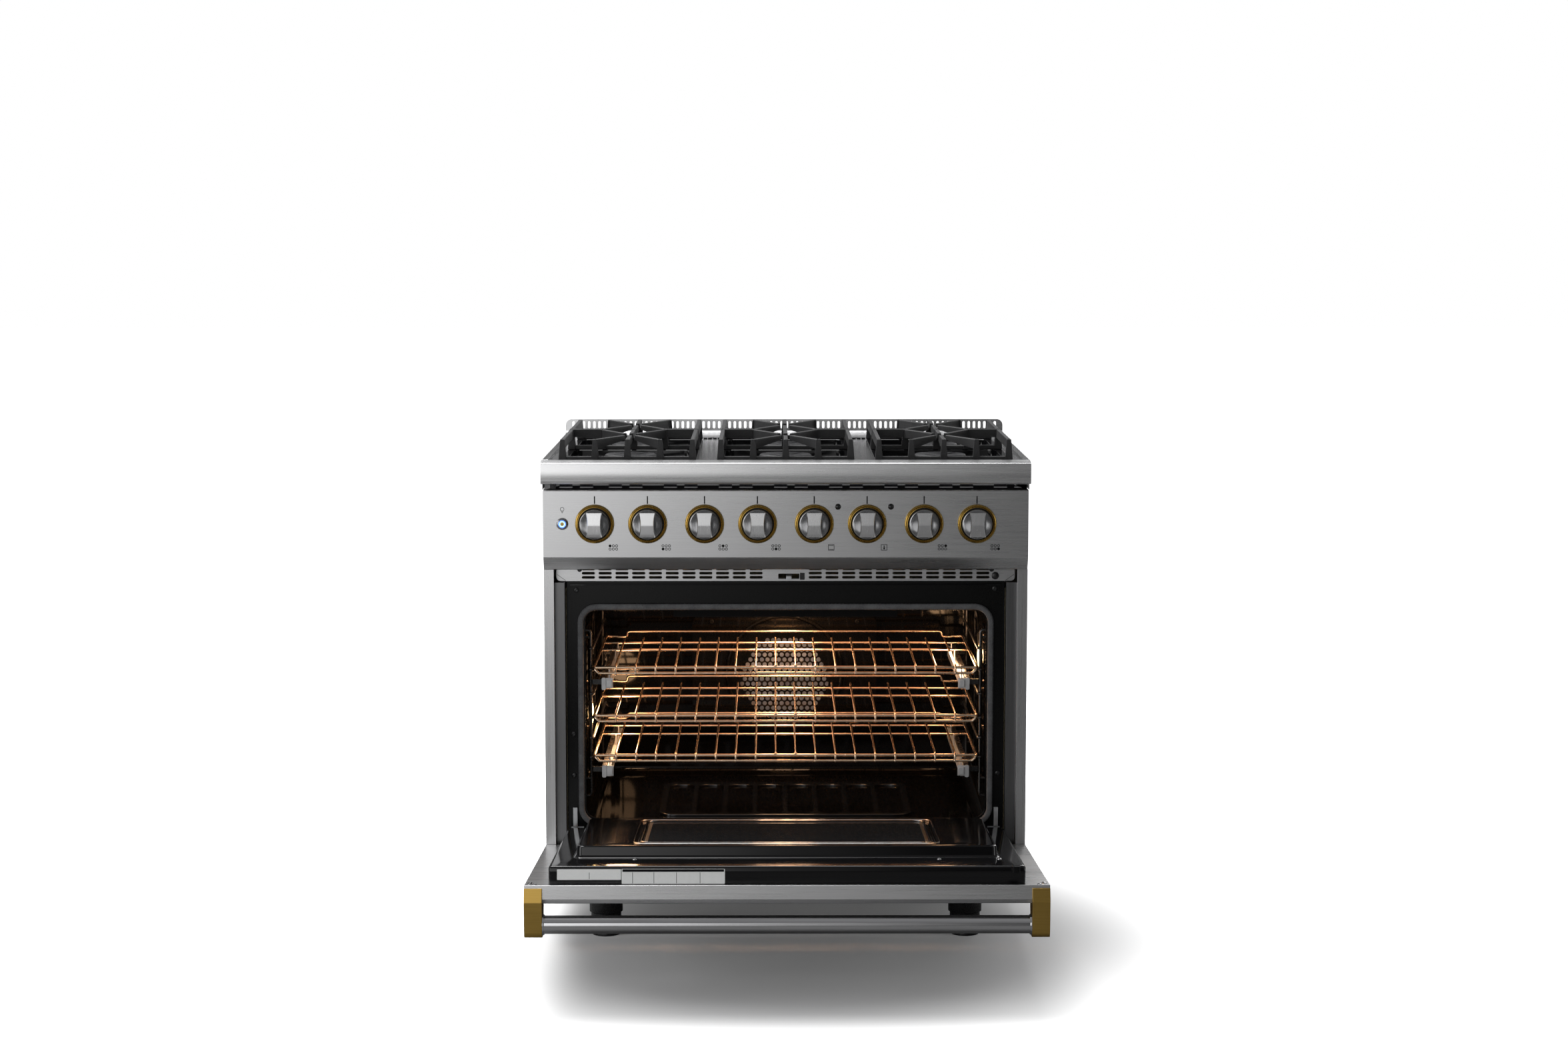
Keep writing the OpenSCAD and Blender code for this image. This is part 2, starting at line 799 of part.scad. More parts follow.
// Door side of each hinge: a flat arm inside the liner with the hinge pin through it
module hinge_arms() {
    color("silver")
    in_open_pose()
    for (s = [0, 1])
        mirror([s, 0, 0]) {
            rod_x(386.5, 409.5, hinge_d, hinge_z, pin_r);
            rod_x(392.5, 403.5, hinge_d, hinge_z, 8);
            slab(392.5, 403.5, hinge_d - 7, hinge_d + 8, hinge_z, hinge_z + 130);
        }
}

// ---- Racks ----
// Chrome wire rack with its wires at height z
module rack_wires(z) {
    wire_count = 18;
    wire_pitch = 38.2;
    stop_rise = 10;
    front_drop = 10.5;
    cross_r = 2.7;
    link_r = 2.4;
    for (s = [-1, 1])
        rod_y(s * rack_half_w, rack_back_d, rack_front_d, z, rack_wire_r);
    for (d = [rack_back_d + 4, 235, 330, rack_front_d - 4])
        rod_x(-rack_half_w, rack_half_w, d, z, cross_r);
    for (x = [-rack_half_w + 26, rack_half_w - 26])
        rod_z(x, rack_back_d + 4, z, z + stop_rise, link_r);
    rod_x(-rack_half_w + 22, rack_half_w - 22, rack_back_d + 4, z + stop_rise, cross_r);
    for (x = [-rack_half_w + 8, rack_half_w - 8])
        rod_z(x, rack_front_d - 4, z - front_drop, z, link_r);
    rod_x(-rack_half_w + 4, rack_half_w - 4, rack_front_d - 4, z - front_drop, cross_r);
    for (i = [0:wire_count - 1])
        rod_y((i - (wire_count - 1) / 2) * wire_pitch, rack_back_d, rack_front_d, z + 2, fill_wire_r);
}

// Moving members of the telescoping glides, welded below a rack
module rack_runners(z) {
    for (s = [0, 1])
        mirror([s, 0, 0]) {
            slab(335, 342.5, rack_back_d, 556, z - rail_drop - rail_h + 2, z - rail_drop - 2);
            for (d = [235, 330, rack_front_d - 7])
                slab(337, 340, d - 3, d + 3, z - rail_drop - 4, z);
        }
}

module rack_top() {
    color("#d9c28a") {
        rack_wires(top_rack_z);
        rack_runners(top_rack_z);
    }
}

module rack_middle() {
    color("#d9c28a") rack_wires(middle_rack_z);
}

module rack_bottom() {
    color("#d9c28a") {
        rack_wires(bottom_rack_z);
        rack_runners(bottom_rack_z);
    }
}

// ---- Small moving parts ----
module door_switch_plunger() {
    color("#111111") {
        rod_y(switch_x, 560, 588, switch_z, switch_r);
        rod_y(switch_x, 587, 590, switch_z, switch_r - 2);
    }
}

module latch_hook() {
    color("gray")
    difference() {
        union() {
            slab(latch_x - 5, latch_x + 5, latch_pivot_d, 600, 697, 701);
            slab(latch_x - 5, latch_x + 5, 596, 600, 693.5, 701);
            rod_z(latch_x, latch_pivot_d, 697, 701, 6);
        }
        rod_z(latch_x, latch_pivot_d, 696, 702, 2 + run_gap);
    }
}

module foot(x, d) {
    color("#202020") {
        rod_z(x, d, 0, 14, 29);
        rod_z(x, d, 14, base_z + 20, foot_stem_r);
    }
}

side_panel_left();
side_panel_right();
back_panel();
base_frame();
front_frame();
control_panel();
landing_ledge();
ledge_vent_strip();
door_vent_trim();
cooktop_panel();
burner_bowls();
island_trim();
burner_bases();
burner_caps();
gas_manifold();
pressure_regulator();
gas_valves();
oven_controls();
knob_bezels();
oven_cavity();
oven_gasket();
fan_baffle();
fan_motor();
rack_ladders();
glide_rails();
oven_lamps();
oven_burners();
insulation_wrap();
hinge_receivers();
door_skin();
door_liner();
door_glass();
handle_bar();
handle_brackets();
hinge_arms();
rack_top();
rack_middle();
rack_bottom();
fan_blade();
light_button();
door_switch_plunger();
latch_hook();
knob(knob_x[0]);  // burner_knob_1
knob(knob_x[1]);  // burner_knob_2
knob(knob_x[2]);  // burner_knob_3
knob(knob_x[3]);  // burner_knob_4
knob(knob_x[4]);  // oven_mode_knob
knob(knob_x[5]);  // oven_temp_knob
knob(knob_x[6]);  // burner_knob_5
knob(knob_x[7]);  // burner_knob_6
front_grate(0);  // grate_1
front_grate(1);  // grate_2
front_grate(2);  // grate_3
rear_grate(0);  // grate_4
rear_grate(1);  // grate_5
rear_grate(2);  // grate_6
foot(-leg_x, leg_ds[0]);  // foot_1
foot(leg_x, leg_ds[0]);  // foot_2
foot(-leg_x, leg_ds[1]);  // foot_3
foot(leg_x, leg_ds[1]);  // foot_4
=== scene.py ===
import json
import math

import bmesh
import bpy
from mathutils import Matrix, Vector
from mathutils.geometry import tessellate_polygon


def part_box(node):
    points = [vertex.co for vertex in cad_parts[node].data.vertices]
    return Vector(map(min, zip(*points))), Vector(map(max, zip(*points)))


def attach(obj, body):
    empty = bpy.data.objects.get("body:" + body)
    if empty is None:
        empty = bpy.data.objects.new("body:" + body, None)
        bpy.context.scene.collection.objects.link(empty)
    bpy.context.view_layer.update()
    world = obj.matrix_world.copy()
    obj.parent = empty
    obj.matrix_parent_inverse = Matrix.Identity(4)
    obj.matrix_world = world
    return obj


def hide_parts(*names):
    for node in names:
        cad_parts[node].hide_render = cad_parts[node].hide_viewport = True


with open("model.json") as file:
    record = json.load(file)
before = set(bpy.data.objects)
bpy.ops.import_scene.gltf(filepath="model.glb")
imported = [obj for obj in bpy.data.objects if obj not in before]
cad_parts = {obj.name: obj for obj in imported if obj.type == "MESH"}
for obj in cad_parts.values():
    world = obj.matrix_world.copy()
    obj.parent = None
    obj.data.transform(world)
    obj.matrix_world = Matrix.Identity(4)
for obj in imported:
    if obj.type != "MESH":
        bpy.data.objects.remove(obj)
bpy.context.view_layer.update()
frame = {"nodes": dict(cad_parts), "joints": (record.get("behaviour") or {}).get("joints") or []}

# ---------------------------------------------------------------- places
# X, the distance in front of the wall and the height, all in millimetres
MM = 0.001
WALL_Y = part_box("back_panel")[1].y
JOINTS = {j["name"]: j for j in frame["joints"]}
HALF_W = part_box("landing_ledge")[1].x / MM
KNOB_Z = JOINTS["burner_knob_1_turn"]["pos_m"][2] / MM
BURNER_KNOB_X = [JOINTS["burner_knob_%d_turn" % k]["pos_m"][0] / MM for k in range(1, 7)]
OVEN_KNOB_X = [JOINTS[n]["pos_m"][0] / MM for n in ("oven_mode_knob_turn", "oven_temp_knob_turn")]
DOOR_D = 619.0
DOOR_Z = 214.0


def place(x, d, z):
    return Vector((x * MM, WALL_Y - d * MM, z * MM))


def low(node):
    """Lowest X, nearest distance from the wall and lowest Z of a CAD node, in millimetres."""
    a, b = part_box(node)
    return a.x / MM, (WALL_Y - b.y) / MM, a.z / MM


def high(node):
    a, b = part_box(node)
    return b.x / MM, (WALL_Y - a.y) / MM, b.z / MM


hinge = JOINTS["door_hinge"]
hinge_point = Vector((0, hinge["pos_m"][1], hinge["pos_m"][2]))
OPEN = (Matrix.Translation(hinge_point)
        @ Matrix.Rotation(math.radians(hinge["range_deg"][1]), 4, "X")
        @ Matrix.Translation(-hinge_point))


def xz(d0=0.0):
    """Flat shapes drawn in X and Z, with their thickness along the distance from the wall."""
    return lambda a, b, t: place(a, d0 + t, b)


def xy(z0=0.0):
    """Flat shapes drawn in X and distance from the wall, with their thickness along Z."""
    return lambda a, b, t: place(a, b, z0 + t)


def yz(x0=0.0):
    """Profiles drawn in distance from the wall and Z, with their length along X."""
    return lambda a, b, t: place(x0 + t, a, b)


def door(a, b, t):
    """Shapes on the closed door: X, height above its lower edge, depth towards the oven."""
    return place(a, DOOR_D - t, DOOR_Z + b)


# ---------------------------------------------------------------- mesh code
def rrect(x0, x1, y0, y1, r, n=6):
    """Outline of a rectangle with round corners, anticlockwise."""
    pts = []
    corners = ((x1 - r, y0 + r, -90), (x1 - r, y1 - r, 0), (x0 + r, y1 - r, 90), (x0 + r, y0 + r, 180))
    for cx, cy, a0 in corners:
        for k in range(n + 1):
            a = math.radians(a0 + 90 * k / n)
            pts.append((cx + r * math.cos(a), cy + r * math.sin(a)))
    return pts


def circle(cx, cy, r, n=24, turn=0.0):
    angles = [turn + 2 * math.pi * k / n for k in range(n)]
    return [(cx + r * math.cos(a), cy + r * math.sin(a)) for a in angles]


def box(x0, x1, y0, y1):
    return [(x0, y0), (x1, y0), (x1, y1), (x0, y1)]


def stadium(x0, x1, y0, y1, n=5):
    """A slot with round ends."""
    return rrect(x0, x1, y0, y1, min(x1 - x0, y1 - y0) / 2 - 0.01, n)


def fillet(points, r, n=5, closed=False):
    """A polyline with its corners rounded."""
    pts = [Vector(p) for p in points]
    count = len(pts)
    out = []
    for i, p in enumerate(pts):
        if not closed and i in (0, count - 1):
            out.append(p)
            continue
        a, b = pts[i - 1], pts[(i + 1) % count]
        ra = min(r, (a - p).length * 0.48)
        rb = min(r, (b - p).length * 0.48)
        q0 = p + (a - p).normalized() * ra
        q1 = p + (b - p).normalized() * rb
        for k in range(n + 1):
            t = k / n
            out.append(q0 * (1 - t) ** 2 + p * 2 * t * (1 - t) + q1 * t * t)
    return out


def bevel_edges(obj, width, segments, degrees):
    m = obj.modifiers.new("edges", "BEVEL")
    m.width = width * MM
    m.segments = segments
    m.limit_method = "ANGLE"
    m.angle_limit = math.radians(degrees)
    return m


class Shape:
    """Collects the faces of one piece, in millimetres."""

    def __init__(self):
        self.bm = bmesh.new()

    def ring(self, points):
        """New vertices at points in metres."""
        return [self.bm.verts.new(p) for p in points]

    def face(self, verts):
        try:
            self.bm.faces.new(verts)
        except ValueError:
            pass

    def bridge(self, a, b, closed=True):
        n = len(a)
        for k in range(n if closed else n - 1):
            self.face((a[k], a[(k + 1) % n], b[(k + 1) % n], b[k]))

    def plate(self, loops, t0, t1, where):
        """A flat plate: an outline with holes, between two thicknesses."""
        flat = [[Vector((p[0], p[1], 0)) for p in loop] for loop in loops]
        tris = tessellate_polygon(flat)
        sides = []
        for t in (t0, t1):
            sides.append([self.ring([where(p[0], p[1], t) for p in loop]) for loop in loops])
        for side in sides:
            verts = [v for loop in side for v in loop]
            for tri in tris:
                self.face([verts[k] for k in tri])
        for a, b in zip(*sides):
            self.bridge(a, b)
        return self

    def block(self, x0, x1, d0, d1, z0, z1):
        return self.plate([box(x0, x1, z0, z1)], d0, d1, xz())

    def loft(self, rings, where, cap0=True, cap1=True):
        """Skin over rings given as (outline, depth), which all have as many points."""
        made = [self.ring([where(p[0], p[1], t) for p in outline]) for outline, t in rings]
        for a, b in zip(made, made[1:]):
            self.bridge(a, b)
        if cap0:
            self.face(made[0])
        if cap1:
            self.face(made[-1])
        return self

    def lathe(self, profile, centre, axis="d", n=40, closed=False):
        """Turns a profile of (radius, position along the axis) about an axis through centre."""
        x, d, z = centre

        def spot(r, a, t):
            c, s = r * math.cos(a), r * math.sin(a)
            if axis == "d":
                return place(x + c, t, z + s)
            if axis == "z":
                return place(x + c, d + s, t)
            return place(t, d + c, z + s)

        made = []
        for r, t in profile:
            if r < 1e-6:
                made.append([self.bm.verts.new(spot(0, 0, t))])
            else:
                made.append(self.ring([spot(r, 2 * math.pi * k / n, t) for k in range(n)]))
        pairs = list(zip(made, made[1:]))
        if closed:
            pairs.append((made[-1], made[0]))
        for a, b in pairs:
            if len(a) == 1 and len(b) == 1:
                continue
            if len(a) == 1 or len(b) == 1:
                tip, rim = (a[0], b) if len(a) == 1 else (b[0], a)
                for k in range(n):
                    self.face((tip, rim[k], rim[(k + 1) % n]))
            else:
                self.bridge(a, b)
        return self

    def tube(self, points, r, n=10, closed=False, section=None):
        """A rod or a strip swept along points given as (X, distance from the wall, Z)."""
        path = [place(*p) for p in points]
        clean = [path[0]]
        for p in path[1:]:
            if (p - clean[-1]).length > 1e-5:
                clean.append(p)
        if closed and (clean[0] - clean[-1]).length < 1e-5:
            clean.pop()
        count = len(clean)
        tangents = []
        for i in range(count):
            a = clean[i - 1] if (i or closed) else clean[i]
            b = clean[(i + 1) % count] if (i < count - 1 or closed) else clean[i]
            tangents.append((b - a).normalized())
        t0 = tangents[0]
        normal = t0.orthogonal().normalized()
        if abs(t0.z) < 0.9:
            normal = (Vector((0, 0, 1)) - t0 * t0.z).normalized()
        rings = []
        for i, (p, t) in enumerate(zip(clean, tangents)):
            if i:
                normal = (tangents[i - 1].rotation_difference(t) @ normal)
                normal = (normal - t * normal.dot(t)).normalized()
            side = t.cross(normal)
            outline = section(i) if section else circle(0, 0, r, n)
            rings.append(self.ring([p + (normal * a + side * b) * MM for a, b in outline]))
        for a, b in zip(rings, rings[1:]):
            self.bridge(a, b)
        if closed:
            self.bridge(rings[-1], rings[0])
        else:
            self.face(rings[0])
            self.face(rings[-1])
        return self

    def hull(self, points):
        """A convex block round points in place() coordinates."""
        verts = self.ring([place(*p) for p in points])
        inside = bmesh.ops.convex_hull(self.bm, input=verts)["geom_interior"]
        inside = [v for v in inside if isinstance(v, bmesh.types.BMVert)]
        bmesh.ops.delete(self.bm, geom=inside, context="VERTS")
        return self

    def piece(self, name, mat, body="root", replaces=(), slot=None, bevel=0.0, segments=2, smooth=32,
              solidify=0.0):
        """Makes the Blender object, and hides the CAD nodes that it replaces. Its slot argument is not used.
        The door's pieces are drawn on the closed door, and opened here."""
        bm = self.bm
        bmesh.ops.remove_doubles(bm, verts=bm.verts, dist=1e-6)
        bmesh.ops.recalc_face_normals(bm, faces=bm.faces)
        mesh = bpy.data.meshes.new(name)
        bm.to_mesh(mesh)
        bm.free()
        if body == "door":
            mesh.transform(OPEN)
        obj = bpy.data.objects.new(name, mesh)
        bpy.context.scene.collection.objects.link(obj)
        mesh.materials.append(mat)
        if solidify:
            m = obj.modifiers.new("thick", "SOLIDIFY")
            m.thickness = solidify * MM
            m.offset = -1
        if bevel:
            bevel_edges(obj, bevel, segments, 30)
        mesh.shade_smooth()
        mesh.set_sharp_from_angle(angle=math.radians(smooth))
        if bevel:
            m = obj.modifiers.new("normals", "WEIGHTED_NORMAL")
            m.keep_sharp = True
        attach(obj, body)
        if replaces:
            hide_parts(*replaces)


# ---------------------------------------------------------------- finishes
def add(tree, kind, inputs=(), **settings):
    """A shader node. Each of its inputs gets a value, or a link where it is given a socket."""
    node = tree.nodes.new("ShaderNode" + kind)
    for key, value in settings.items():
        setattr(node, key, value)
    for key, value in dict(inputs).items():
        if isinstance(value, bpy.types.NodeSocket):
            tree.links.new(value, node.inputs[key])
        else:
            node.inputs[key].default_value = value
    return node


def stops(ramp, *levels):
    """Sets a colour ramp's stops, each a position and a colour."""
    elements = ramp.color_ramp.elements
    while len(elements) < len(levels):
        elements.new(0.5)
    for element, (position, colour) in zip(elements, levels):
        element.position = position
        element.color = (*colour, 1)
    return ramp.outputs[0]


def finish(name, colour, rough, metallic=0.0, dark=None, stretch=300, patch=6, spread=0.08, bump=0.0,
           bump_mm=0.05, kind="Noise", coat=0.0, glow=None, glow_strength=0.0, specular=0.5):
    """A surface whose colour and roughness wander in patches, with a finer relief."""
    mat = bpy.data.materials.new(name)
    mat.use_nodes = True
    tree = mat.node_tree
    shader = tree.nodes["Principled BSDF"].inputs
    shader["Metallic"].default_value = metallic
    shader["Coat Weight"].default_value = coat
    shader["Coat Roughness"].default_value = 0.06
    shader["Specular IOR Level"].default_value = specular
    coords = add(tree, "TexCoord").outputs["Object"]

    def texture(scale, sort, **inputs):
        scale = scale if isinstance(scale, tuple) else (scale, scale, scale)
        spot = add(tree, "Mapping", {"Vector": coords, "Scale": scale}).outputs[0]
        return add(tree, "Tex" + sort, {"Vector": spot, "Scale": 1.0, **inputs}).outputs[0]

    wander = texture(patch, "Noise", Detail=3)
    fine = texture(stretch, kind, **({"Detail": 4} if kind == "Noise" else {}))
    part = add(tree, "Math", {0: wander, 1: 0.4}, operation="MULTIPLY").outputs[0]
    blend = add(tree, "Math", {0: fine, 1: 0.6, 2: part}, operation="MULTIPLY_ADD").outputs[0]
    darker = dark or tuple(c * 0.82 for c in colour)
    tint = stops(add(tree, "ValToRGB", {0: blend}), (0.3, darker), (0.7, colour))
    gloss = add(tree, "MapRange", {0: blend, "From Min": 0.3, "From Max": 0.7, "To Min": max(rough - spread,
        0.02), "To Max": rough + spread}).outputs[0]
    tree.links.new(tint, shader["Base Color"])
    tree.links.new(gloss, shader["Roughness"])
    if bump:
        relief = add(tree, "Bump", {"Strength": bump, "Distance": bump_mm * MM, "Height": fine})
        tree.links.new(relief.outputs[0], shader["Normal"])
    if glow:
        shader["Emission Color"].default_value = (*glow, 1)
        shader["Emission Strength"].default_value = glow_strength
    return mat


STEEL = (0.56, 0.56, 0.565)
brushed = finish("brushed_steel_across", STEEL, 0.29, 1.0, stretch=(7, 900, 900), patch=(2, 9, 9), bump=0.22,
    spread=0.05)
brushed_up = finish("brushed_steel_up", STEEL, 0.3, 1.0, stretch=(900, 900, 7), patch=(9, 9, 2), bump=0.35,
    spread=0.05)
# A lighter copy of the same stainless for the landing ledge, which catches more light: painted light.
ledge_steel_painted_light = finish("ledge_steel_painted_light", (0.74, 0.74, 0.745), 0.28, 1.0, stretch=(7, 900, 900), patch=(2, 9, 9),
    bump=0.18, spread=0.05)
# A lighter copy of the stainless for the cooktop deck: painted light.
deck_steel_painted_light = finish("deck_steel_painted_light", (0.72, 0.72, 0.725), 0.2, 1.0, stretch=(900, 8, 900), patch=(9, 2, 9),
    bump=0.25, spread=0.05)
# A darker copy of the stainless for the recessed strips beside the oven's frame: painted shade.
strip_steel_painted_shade = finish("strip_steel_painted_shade", (0.17, 0.17, 0.173), 0.34, 1.0, stretch=(900, 900, 7), patch=(9, 9, 2),
    bump=0.2, spread=0.05)
polished = finish("polished_steel", (0.55, 0.55, 0.56), 0.13, 1.0, stretch=(12, 700, 700), bump=0.15,
    spread=0.04)
knob_steel = finish("knob_steel", (0.66, 0.66, 0.665), 0.26, 1.0, dark=(0.61, 0.61, 0.615),
    stretch=(500, 500, 30), bump=0.05, spread=0.03)
# A lighter copy of the stainless for the door skin and the panel's lower fold: painted light.
door_steel_painted_light = finish("door_steel_painted_light", (0.66, 0.66, 0.665), 0.29, 1.0, stretch=(7, 900, 900), patch=(2, 9, 9),
    bump=0.2, spread=0.05)
skirt_steel = finish("knob_skirt_steel", (0.36, 0.36, 0.365), 0.22, 1.0, stretch=(500, 500, 30), bump=0.3,
    spread=0.05)
zinc = finish("galvanised_steel", (0.56, 0.57, 0.58), 0.42, 1.0, dark=(0.47, 0.48, 0.49), stretch=85,
    patch=14, kind="Voronoi", spread=0.1)
porcelain = finish("black_porcelain", (0.0045, 0.0045, 0.005), 0.1, dark=(0.003, 0.003, 0.0035), stretch=260,
    patch=11, bump=0.1, bump_mm=0.1, spread=0.03, specular=0.3)
frame_black = finish("frame_porcelain", (0.006, 0.006, 0.006), 0.2, dark=(0.004, 0.004, 0.004), stretch=260,
    patch=9, bump=0.1, bump_mm=0.1, spread=0.04, specular=0.16)
speckled = finish("oven_porcelain", (0.0035, 0.0033, 0.003), 0.055, dark=(0.0022, 0.0022, 0.0022),
    stretch=420, patch=11, bump=0.03, spread=0.012, specular=0.1)
relief_black = finish("relief_porcelain", (0.006, 0.006, 0.006), 0.14, dark=(0.004, 0.004, 0.004), patch=11,
    bump=0.05, spread=0.03, specular=1.0)
iron = finish("cast_iron", (0.022, 0.022, 0.023), 0.6, dark=(0.012, 0.012, 0.0125), stretch=520, patch=25,
    bump=0.75, bump_mm=0.5, spread=0.1, specular=0.4)
glide_grey = finish("glide_steel", (0.6, 0.6, 0.6), 0.34, 0.45, dark=(0.42, 0.42, 0.425), stretch=60,
    bump=0.2, spread=0.06)
burner_black = finish("burner_black", (0.006, 0.006, 0.0062), 0.6, dark=(0.004, 0.004, 0.004), bump=0.3,
    bump_mm=0.2, specular=0.1)
cap_black = finish("cap_enamel", (0.03, 0.03, 0.032), 0.5, dark=(0.018, 0.018, 0.019), stretch=400, patch=30,
    bump=0.3, bump_mm=0.2, specular=0.14)
brass = finish("machined_brass", (0.72, 0.52, 0.24), 0.3, 1.0, stretch=(60, 60, 900), bump=0.3)
bezel_brass = finish("bezel_brass", (0.44, 0.29, 0.075), 0.28, 1.0, dark=(0.33, 0.21, 0.05),
    stretch=(300, 900, 300), bump=0.4, spread=0.06)
bracket_brass = finish("bracket_brass", (0.44, 0.285, 0.075), 0.34, 1.0, dark=(0.35, 0.225, 0.055),
    stretch=(10, 900, 900), bump=0.45, spread=0.05)
# The rack wire is chrome, tinted golden: painted warm light of the oven lamps.
chrome_painted_warm_light = finish("chrome_wire", (0.8, 0.62, 0.46), 0.24, 1.0, dark=(0.66, 0.49, 0.34), stretch=90, bump=0.03,
    spread=0.04)
braid = finish("gasket_braid", (0.16, 0.163, 0.168), 0.85, dark=(0.05, 0.05, 0.052), stretch=900, patch=60,
    bump=0.8, bump_mm=0.6)
aluminium = finish("cast_aluminium", (0.55, 0.56, 0.57), 0.5, 1.0, bump=0.5, bump_mm=0.3)
matt_black = finish("matt_black", (0.02, 0.02, 0.021), 0.55, bump=0.3, bump_mm=0.1)
strip_grey = finish("vent_strip_grey", (0.38, 0.38, 0.385), 0.5, 0.0, stretch=(9, 500, 500), bump=0.2)
satin_black = finish("satin_black", (0.01, 0.01, 0.0105), 0.28, stretch=200, bump=0.15)
ladder_black = finish("ladder_steel", (0.1, 0.095, 0.09), 0.3, 0.9, stretch=200, bump=0.2)
ink = finish("panel_ink", (0.004, 0.004, 0.0045), 0.6, specular=0.1, bump=0.1, bump_mm=0.02)
wool = finish("mineral_wool", (0.6, 0.53, 0.36), 0.95, dark=(0.42, 0.36, 0.22), stretch=160, patch=20,
    bump=1.0, bump_mm=2.0, specular=0.1)
ceramic = finish("igniter_ceramic", (0.8, 0.78, 0.72), 0.35, stretch=200, bump=0.1)
paper = finish("blank_label", (0.86, 0.87, 0.86), 0.5, dark=(0.8, 0.81, 0.8), stretch=200, bump=0.1,
    bump_mm=0.02)
moulding = finish("control_moulding", (0.75, 0.73, 0.68), 0.5, stretch=200, bump=0.2)
dark_glass = finish("oven_glass", (0.022, 0.023, 0.024), 0.045, dark=(0.018, 0.019, 0.02), stretch=30,
    spread=0.01, coat=0.5)
frit = finish("glass_frit", (0.006, 0.006, 0.006), 0.3, spread=0.05)
lamp_glow = finish("lit_lamp_glass", (1.0, 0.8, 0.5), 0.15, stretch=100, glow=(1.0, 0.62, 0.24),
    glow_strength=12.0, spread=0.03)
led = finish("led_ring", (0.2, 0.4, 0.9), 0.2, stretch=100, glow=(0.03, 0.13, 0.75), glow_strength=1.6,
    spread=0.03)
led_core = finish("led_ring_core", (0.5, 0.7, 1.0), 0.2, stretch=100, glow=(0.25, 0.52, 1.0),
    glow_strength=2.4, spread=0.03)


def coat_node(node, mat, bevel=0.0):
    """A CAD node that stays, with its finish and, where its edges show, softened edges."""
    obj = frame["nodes"][node]
    obj.data.materials.clear()
    obj.data.materials.append(mat)
    if bevel:
        weld = obj.modifiers.new("weld", "WELD")
        weld.merge_threshold = 0.01 * MM
        bevel_edges(obj, bevel, 2, 40)


def screw(shape, x, d, z, r=4.2, axis="d", out=1):
    """Round head with a socket, standing proud along its axis."""
    t = {"d": d, "z": z, "x": x}[axis]
    shape.lathe([(0, t), (r, t), (r, t + out * 0.8), (r * 0.86, t + out * 1.7), (r * 0.5, t + out * 2.2),
                 (r * 0.42, t + out * 1.3), (0, t + out * 1.1)], (x, d, z), axis, 18)


# ---------------------------------------------------------------- casing
# CAD nodes that stay, by finish and width of softened edge. The cooktop panel and the door skin take lighter
# copies of the stainless, painted light, and the chrome glide rails take satin black, painted shade.
for mat, width, nodes in (
        (brushed_up, 0.4, ("side_panel_left", "side_panel_right")), (deck_steel_painted_light, 0.5, ("cooktop_panel",)),
        (zinc, 0, ("back_panel", "gas_manifold", "fan_blade")), (zinc, 0.5, ("fan_motor",)),
        (zinc, 0.4, ("hinge_receivers", "hinge_arms", "latch_hook")), (brass, 0.4, ("gas_valves",)),
        (satin_black, 0.8, ("base_frame",)), (satin_black, 0.5, ("glide_rails",)),
        (moulding, 0.8, ("oven_controls",)), (burner_black, 0.8, ("oven_burners",)),
        (aluminium, 0.6, ("pressure_regulator",)),
        (wool, 0, ("insulation_wrap",)), (door_steel_painted_light, 0.6, ("door_skin",))):
    for node in nodes:
        coat_node(node, mat, width)

# The strips beside the oven's frame take a darker copy of the steel: painted shade of their recess.
STRIP_EDGE_X = 436
for node in ("side_panel_left", "side_panel_right"):
    mesh = frame["nodes"][node].data
    mesh.materials.append(strip_steel_painted_shade)
    for face in mesh.polygons:
        if abs(face.center.x) < STRIP_EDGE_X * MM:
            face.material_index = 1

# Landing ledge: flat top, slightly crowned face, tucked lower edge, in a lighter copy of the stainless:
# painted light.
lx, ld, lz = low("landing_ledge")
hx, hd, hz = high("landing_ledge")
ARC = [k * math.pi / 12 for k in range(1, 6)]
outline = [(ld, lz), (hd - 7.2, lz)]
outline += [(hd - 7.2 + 6 * math.sin(a), lz + 6 - 6 * math.cos(a)) for a in ARC]
outline += [(hd - 1.2 + 1.2 * math.sin(math.pi * k / 10), lz + 7 + 3 * k) for k in range(10)]
outline += [(hd - 3 + 1.8 * math.cos(a), hz - 5.4 + 1.8 * math.sin(a)) for a in ARC]
outline += [(hd - 18, hz), (ld, hz)]
Shape().plate([outline], lx, hx, yz()).piece(
    "landing_ledge_rail", ledge_steel_painted_light, replaces=["landing_ledge"], bevel=0.6, smooth=40)

# Dark vent strip under the ledge, with pairs of double slots
sx, sd, sz = low("ledge_vent_strip")
tx, td, tz = high("ledge_vent_strip")
PAIR_X = [-424, -331.5, -228.5, -125.5, -22, 81, 184.5, 287.5, 389.5]
holes = [stadium(x + dx, x + dx + 25, z, z + 2, 2) for x in PAIR_X for dx in (0, 38.5) for z in (871.5, 876)]
Shape().plate([box(sx, tx, sz, tz)] + holes, sd, td, xz()).piece(
    "ledge_vent_strip_slotted", strip_grey, replaces=["ledge_vent_strip"])
# A black sheet just behind the slots makes them read dark: painted shade.
Shape().block(sx + 1, tx - 1, sd - 1.6, sd - 0.1, sz + 0.6, tz - 0.6).piece(
    "vent_slot_painted_shade", ink, slot="black_plastic")
Shape().block(-441, -430, td, td + 5, 870, 880).block(-438, -433, td + 5, td + 6.5, 872.5, 877.5).piece(
    "vent_strip_clip", matt_black, slot="black_plastic", bevel=0.5)

